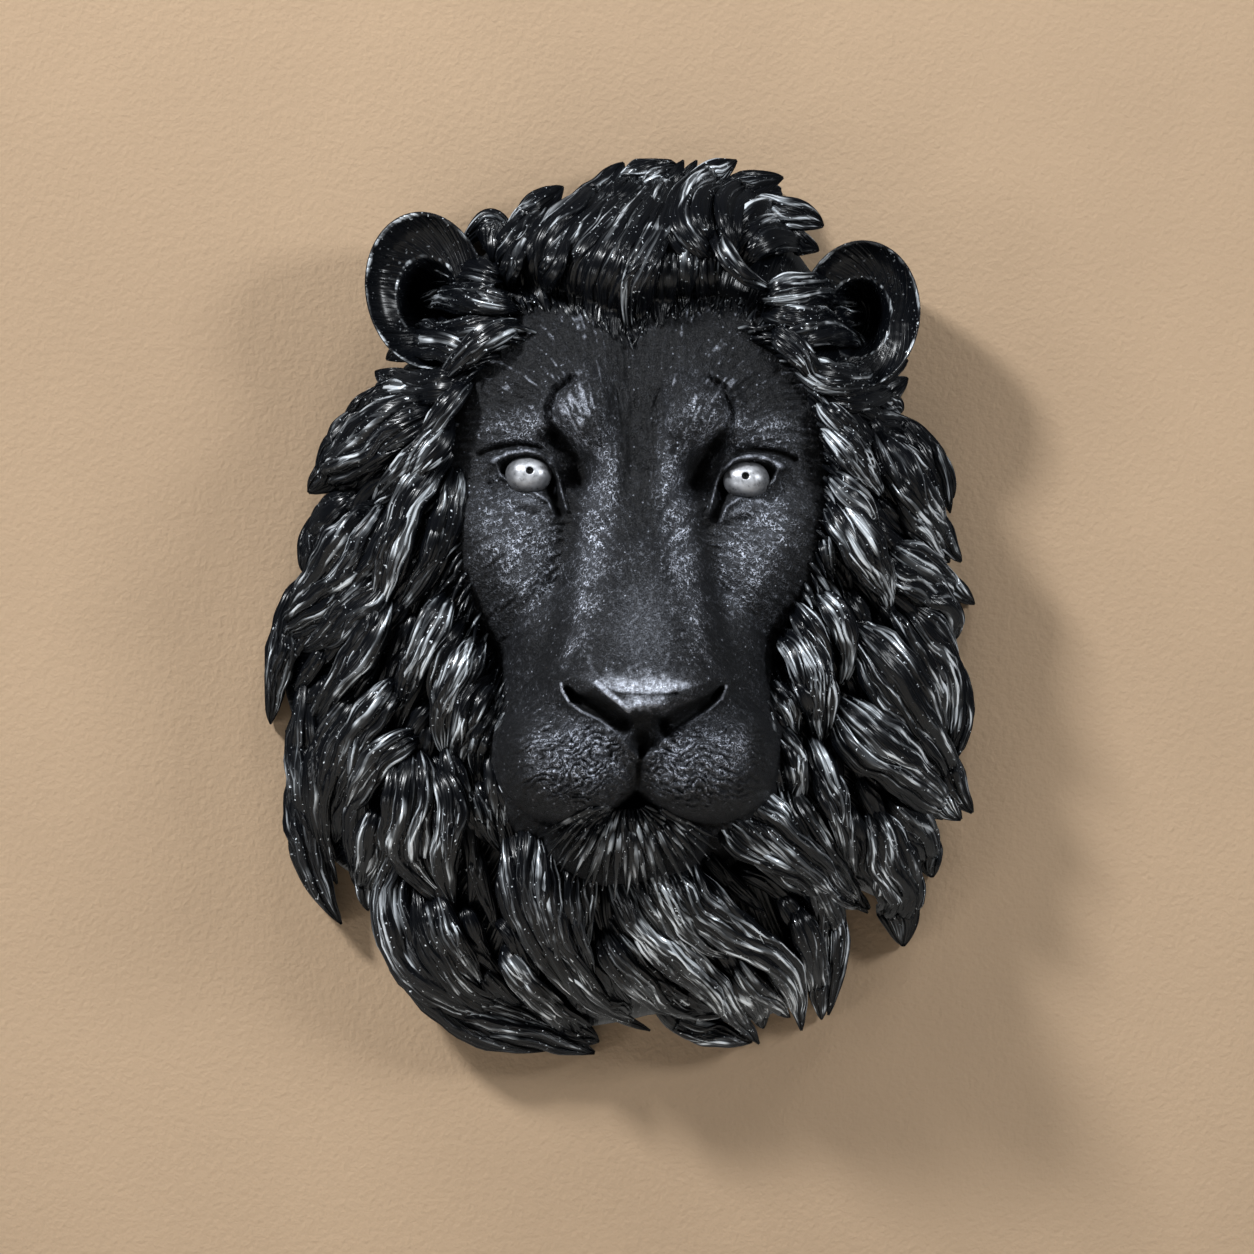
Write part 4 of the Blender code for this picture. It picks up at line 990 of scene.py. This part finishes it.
def node(tree, kind, settings, *values, **named):
    """Adds a shader node, sets its properties and fills its inputs with values or other sockets."""
    made = tree.nodes.new(kind)
    for name, value in settings.items():
        setattr(made, name, value)
    for name, value in [*enumerate(values), *named.items()]:
        if isinstance(value, bpy.types.NodeSocket):
            tree.links.new(value, made.inputs[name])
        else:
            made.inputs[name].default_value = value
    return made


def math_node(tree, operation, *values):
    return node(tree, "ShaderNodeMath", {"operation": operation}, *values).outputs[0]


def ramp(tree, value, low, high, to_low=0.0, to_high=1.0):
    """A value from low to high drawn smoothly onto to_low to to_high."""
    smooth = {"interpolation_type": "SMOOTHSTEP"}
    return node(tree, "ShaderNodeMapRange", smooth, value, low, high, to_low, to_high).outputs[0]


def product(tree, first, *others):
    for value in others:
        first = math_node(tree, "MULTIPLY", first, value)
    return first


def greatest(tree, first, *others):
    for value in others:
        first = math_node(tree, "MAXIMUM", first, value)
    return first


def mixed(tree, share, low, high):
    """The colour low where share is 0 and high where it is 1."""
    made = node(tree, "ShaderNodeMix", {"data_type": "RGBA"}, share)
    made.inputs[6].default_value, made.inputs[7].default_value = (*low, 1), (*high, 1)
    return made.outputs[2]


def new_material(name):
    material = bpy.data.materials.new(name)
    material.use_nodes = True
    return material, material.node_tree, material.node_tree.nodes["Principled BSDF"]


def attribute(tree, name, output):
    return node(tree, "ShaderNodeAttribute", {"attribute_name": name}).outputs[output]


def parts_of(tree, vector):
    return node(tree, "ShaderNodeSeparateXYZ", {}, vector).outputs


def object_place(tree, scale=1.0):
    """The place on the object in metres, or in millimetres where scale is 1000."""
    place = node(tree, "ShaderNodeTexCoord", {}).outputs["Object"]
    return node(tree, "ShaderNodeMapping", {}, Vector=place, Scale=(scale, scale, scale)).outputs[0]


def noise(tree, place, scale, detail, distortion=0.0):
    """Noise from 0 to 1, drawn out where scale is three numbers."""
    if isinstance(scale, tuple):
        place, scale = node(tree, "ShaderNodeMapping", {}, Vector=place, Scale=scale).outputs[0], 1.0
    settings = {"Vector": place, "Scale": scale, "Detail": detail, "Distortion": distortion}
    return node(tree, "ShaderNodeTexNoise", {}, **settings).outputs[0]


def fill(tree, shader, **sockets):
    """Joins each value to the shader's input of that name, with its spaces as underscores."""
    for name, value in sockets.items():
        tree.links.new(value, shader.inputs[name.replace("_", " ")])


def bumps(tree, height, distance, strength):
    return node(tree, "ShaderNodeBump", {}, Height=height, Distance=distance, Strength=strength).outputs[0]


RESIN, RUBBED_SILVER = (0.0024, 0.0029, 0.0041), (0.86, 0.93, 1.0)
CHARCOAL, FLECK_SILVER = (0.0038, 0.0042, 0.0053), (0.69, 0.74, 0.86)
PUPIL_BLACK, EYE_SILVER = (0.007, 0.007, 0.008), (0.72, 0.74, 0.79)
SAND = ((0.348, 0.245, 0.155), (0.400, 0.283, 0.180))
PALE = ((0.69, 0.66, 0.61), (0.74, 0.71, 0.66))


def strand_material():
    """Black resin hair: fine lines along each strand, with silver rubbed over the raised ones, a faint patchy
    silver on the crowns that is partly brushed silver and partly a painted sheen, and painted glints as white
    specks.
    """
    material, tree, shader = new_material("resin_strands")
    hair = attribute(tree, "hair", "Vector")
    worn = attribute(tree, "worn", "Fac")
    rub_and_painted_light = parts_of(tree, hair)[2]
    fine = noise(tree, hair, (0.95, 0.024, 0.0), 1.5)
    broken = noise(tree, hair, (0.30, 0.045, 0.0), 3.0)
    place = object_place(tree)
    patch, glint_noise = noise(tree, place, 48, 2.0), noise(tree, place, 700, 1.0)
    gaps = product(tree, ramp(tree, broken, 0.38, 0.52, 0.15, 1.0), ramp(tree, patch, 0.43, 0.56, 0.08, 1.0))
    split = ramp(tree, fine, 0.40, 0.53, 0.20, 1.0)
    ridges = product(tree, ramp(tree, worn, 0.72, 0.93), ramp(tree, rub_and_painted_light, 0.24, 0.50), gaps, split)
    hairs = product(tree, ramp(tree, fine, 0.53, 0.61), ramp(tree, rub_and_painted_light, 0.14, 0.62, 0.0, 0.58), gaps)
    # A faint silver in patches on the crowns, partly brushed-on silver and partly a painted sheen.
    sheen = product(tree, ramp(tree, rub_and_painted_light, 0.15, 0.7), ramp(tree, patch, 0.50, 0.66, 0.0, 0.08))
    # White specks over the silvered hair, painted glints.
    specks = product(tree, ramp(tree, glint_noise, 0.70, 0.76), ramp(tree, rub_and_painted_light, 0.02, 0.3))
    silver = greatest(tree, ridges, hairs, sheen, specks)
    fill(
        tree, shader,
        Base_Color=mixed(tree, silver, RESIN, RUBBED_SILVER),
        Metallic=product(tree, silver, 0.35),
        Roughness=ramp(tree, fine, 0.3, 0.7, 0.31, 0.20),
        Normal=bumps(tree, fine, 0.0009, 0.8),
    )
    shader.inputs["Specular IOR Level"].default_value = 0.27
    return material


def skin_material():
    """Matt charcoal fur of the face with silver flecks, a glossier nose with rubbed silver and a painted
    highlight, and painted shade in the hollows.
    """
    material, tree, shader = new_material("resin_face")
    dense, stands, strokes = parts_of(tree, attribute(tree, "hair", "Vector"))
    worn = attribute(tree, "worn", "Fac")
    place = object_place(tree, 1000)
    curl, grain = noise(tree, place, 0.60, 1.0, 0.6), noise(tree, place, 1.5, 2.0)
    breaks, patch = noise(tree, place, 0.36, 1.0), noise(tree, place, 0.14, 2.0)
    dots = node(tree, "ShaderNodeTexVoronoi", {}, Vector=place, Scale=0.33).outputs["Distance"]
    off_middle = math_node(tree, "ABSOLUTE", math_node(tree, "SUBTRACT", curl, 0.5))
    squiggle = ramp(tree, off_middle, 0.075, 0.022)
    density = product(
        tree, ramp(tree, dense, 0.03, 0.95, 0.030, 1.0), ramp(tree, patch, 0.35, 0.65, 0.7, 1.15),
    )
    uneven = product(
        tree, ramp(tree, breaks, 0.38, 0.60, 0.40, 1.15), ramp(tree, grain, 0.35, 0.60, 0.85, 1.15),
    )
    flecks = product(tree, squiggle, density, uneven, ramp(tree, stands, 0.20, 0.70, 0.30, 1.0))
    combed = product(
        tree, ramp(tree, strokes, 0.44, 0.66, 0.0, 0.62), ramp(tree, grain, 0.40, 0.55, 0.35, 1.0),
    )
    specks = product(
        tree, ramp(tree, dots, 0.17, 0.10), ramp(tree, density, 0.03, 0.30, 0.35, 1.0),
        ramp(tree, breaks, 0.48, 0.60),
    )
    rub_and_painted_light = math_node(tree, "MULTIPLY_ADD", grain, 0.5, worn)
    # Silver where it is rubbed on, and the painted highlights of the nose and eyes.
    rubbed_and_painted_highlight = product(tree, ramp(tree, rub_and_painted_light, 0.35, 1.20), ramp(tree, curl, 0.34, 0.56, 0.4, 1.0))
    silver = greatest(tree, flecks, specks, combed, product(tree, density, 0.055), rubbed_and_painted_highlight)
    # Painted shade: the colour darkens to about an eighth in the face's hollows.
    shade = node(tree, "ShaderNodeMix", {"data_type": "RGBA", "blend_type": "MULTIPLY"}, 1.0)
    tree.links.new(mixed(tree, silver, CHARCOAL, FLECK_SILVER), shade.inputs[6])
    tree.links.new(ramp(tree, worn, -0.9, -0.1, 0.12, 1.0), shade.inputs[7])
    relief = product(tree, squiggle, ramp(tree, dense, 0.05, 0.8, 0.85, 1.7))
    fill(
        tree, shader,
        Base_Color=shade.outputs[2],
        Metallic=product(tree, silver, 0.45),
        Roughness=product(
            tree, ramp(tree, worn, 0.1, 0.8, 0.50, 0.30), ramp(tree, worn, -0.8, -0.1, 1.3, 1.0),
        ),
        Normal=bumps(tree, math_node(tree, "MULTIPLY_ADD", grain, 0.6, relief), 0.0013, 1.0),
    )
    shader.inputs["Specular IOR Level"].default_value = 0.24
    return material


def eye_material():
    """Silver paint with a painted shade that darkens it towards the rim, and a black pupil."""
    material, tree, shader = new_material("silver_eyes")
    from_pupil = parts_of(tree, attribute(tree, "hair", "Vector"))[0]
    grain = noise(tree, object_place(tree, 1000), 0.5, 4.0)
    # Painted shade darkens the ball towards its rim.
    painted_rim_shade = ramp(tree, from_pupil, 9.8, 1.8, 0.22, 1.0)
    tone = product(
        tree, painted_rim_shade, ramp(tree, grain, 0.3, 0.65, 0.5, 0.8), ramp(tree, from_pupil, 1.6, 1.9),
    )
    fill(
        tree, shader,
        Base_Color=mixed(tree, tone, PUPIL_BLACK, EYE_SILVER),
        Metallic=ramp(tree, from_pupil, 1.5, 1.9, 0.0, 0.30),
        Roughness=ramp(tree, grain, 0.3, 0.7, 0.26, 0.40),
        Normal=bumps(tree, grain, 0.0003, 0.4),
    )
    return material


def plane(name, corners, material):
    mesh = bpy.data.meshes.new(name)
    mesh.from_pydata(corners, [], [(0, 1, 2, 3)])
    mesh.materials.append(material)
    made = bpy.data.objects.new(name, mesh)
    bpy.context.scene.collection.objects.link(made)
    return made


# Each lamp: name, place, size, watts and tint
COOL = (0.94, 0.97, 1.0)
LIGHTS = [
    ("key", (-1.40, -1.30, 1.55), 0.32, 71, (0.96, 0.98, 1.0)),
    ("key_soft", (-1.15, -1.60, 1.45), 1.20, 6, COOL),
    ("top", (0.4, -1.2, 1.7), 0.5, 10, COOL),
    ("right", (1.7, -1.3, 0.7), 0.5, 28, COOL),
    ("low_left", (-1.6, -1.5, -0.7), 0.5, 7, COOL),
]
LAMP_AIM = Vector((0, -0.05, 0))
ROOM_LIGHT = 0.08
WALL_GAP = 0.0015
FLOOR_LEVEL, WALL_TOP, ROOM_HALF = -1.2, 3, 4

# The camera stands straight in front, a little left of and below the middle of the back
CAMERA_SPOT = (-0.0045, -VIEW_DISTANCE * MM, -0.01215)
LENS_MM, SENSOR_MM = 140.3, 36


def wall_and_floor():
    """A sand-coloured wall that shows only from in front, and a pale floor."""
    wall, tree, shader = new_material("sand_wall")
    place = object_place(tree)
    blotch, grain = noise(tree, place, 3.5, 5.0), noise(tree, place, 420.0, 4.0)
    fill(
        tree, shader,
        Base_Color=mixed(tree, ramp(tree, blotch, 0.3, 0.7), *SAND),
        Normal=bumps(tree, grain, 0.0007, 0.8),
    )
    shader.inputs["Roughness"].default_value = 0.9
    clear = node(tree, "ShaderNodeBsdfTransparent", {}).outputs[0]
    behind = node(tree, "ShaderNodeNewGeometry", {}).outputs["Backfacing"]
    both = node(tree, "ShaderNodeMixShader", {}, behind, shader.outputs[0], clear)
    tree.links.new(both.outputs[0], tree.nodes["Material Output"].inputs[0])
    low, high = FLOOR_LEVEL, WALL_TOP
    corners = [(-ROOM_HALF, low), (ROOM_HALF, low), (ROOM_HALF, high), (-ROOM_HALF, high)]
    made = plane("wall", [(x, WALL_GAP, z) for x, z in corners], wall)
    made.visible_glossy = False

    floor, tree, shader = new_material("pale_floor")
    blotch = noise(tree, object_place(tree), 6.0, 5.0)
    fill(tree, shader, Base_Color=mixed(tree, ramp(tree, blotch, 0.3, 0.7), *PALE))
    shader.inputs["Roughness"].default_value = 0.85
    corners = [(-ROOM_HALF, -5), (ROOM_HALF, -5), (ROOM_HALF, 4), (-ROOM_HALF, 4)]
    plane("floor", [(x, y, FLOOR_LEVEL) for x, y in corners], floor)


def lamps_and_camera():
    """Soft light, most of it from the upper left, and the camera at the photograph's angle."""
    world = bpy.data.worlds.new("soft_room")
    bpy.context.scene.world = world
    world.use_nodes = True
    world.node_tree.nodes["Background"].inputs[0].default_value = (*COOL, 1)
    world.node_tree.nodes["Background"].inputs[1].default_value = ROOM_LIGHT
    for name, spot, size, watts, tint in LIGHTS:
        lamp = bpy.data.lights.new(name, "AREA")
        lamp.size, lamp.energy, lamp.color = size, watts, tint
        made = bpy.data.objects.new(name, lamp)
        made.location = spot
        made.rotation_euler = (LAMP_AIM - Vector(spot)).to_track_quat("-Z", "Y").to_euler()
        bpy.context.scene.collection.objects.link(made)

    camera = bpy.data.objects.new("camera", bpy.data.cameras.new("camera"))
    camera.location = CAMERA_SPOT
    camera.rotation_euler = (math.pi / 2, 0, 0)
    camera.data.lens, camera.data.sensor_width = LENS_MM, SENSOR_MM
    bpy.context.scene.collection.objects.link(camera)
    bpy.context.scene.camera = camera
    bpy.context.scene.view_settings.view_transform = "Standard"


def main():
    hair, fur, paint = strand_material(), skin_material(), eye_material()
    face = face_piece(fur)
    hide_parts("lion_head")
    bed_piece(hair)
    under_piece(hair)
    # The left of the mane gets less silver than the parts below and on the right, a painted highlight on the
    # parts that the key lamp from the upper left lights less.
    mane_piece("mane_left", LOCKS_LEFT, 1000, hair, shine=0.84)
    mane_piece("mane_below", LOCKS_BELOW, 2000, hair, shine=1.32)
    mane_piece("mane_right", LOCKS_RIGHT, 3000, hair, shine=1.28)
    mane_piece("crest", LOCKS_CREST, 4000, hair, 3.6, 1.1, 1.0, 0.4, 0.78)
    mane_piece("ear_tufts", LOCKS_EARS, 5000, hair, 3.4, shine=0.7)
    ear_piece(hair)
    fringe_piece(hair)
    chin_piece(hair)
    eye_piece(paint)
    wall_and_floor()
    lamps_and_camera()


main()
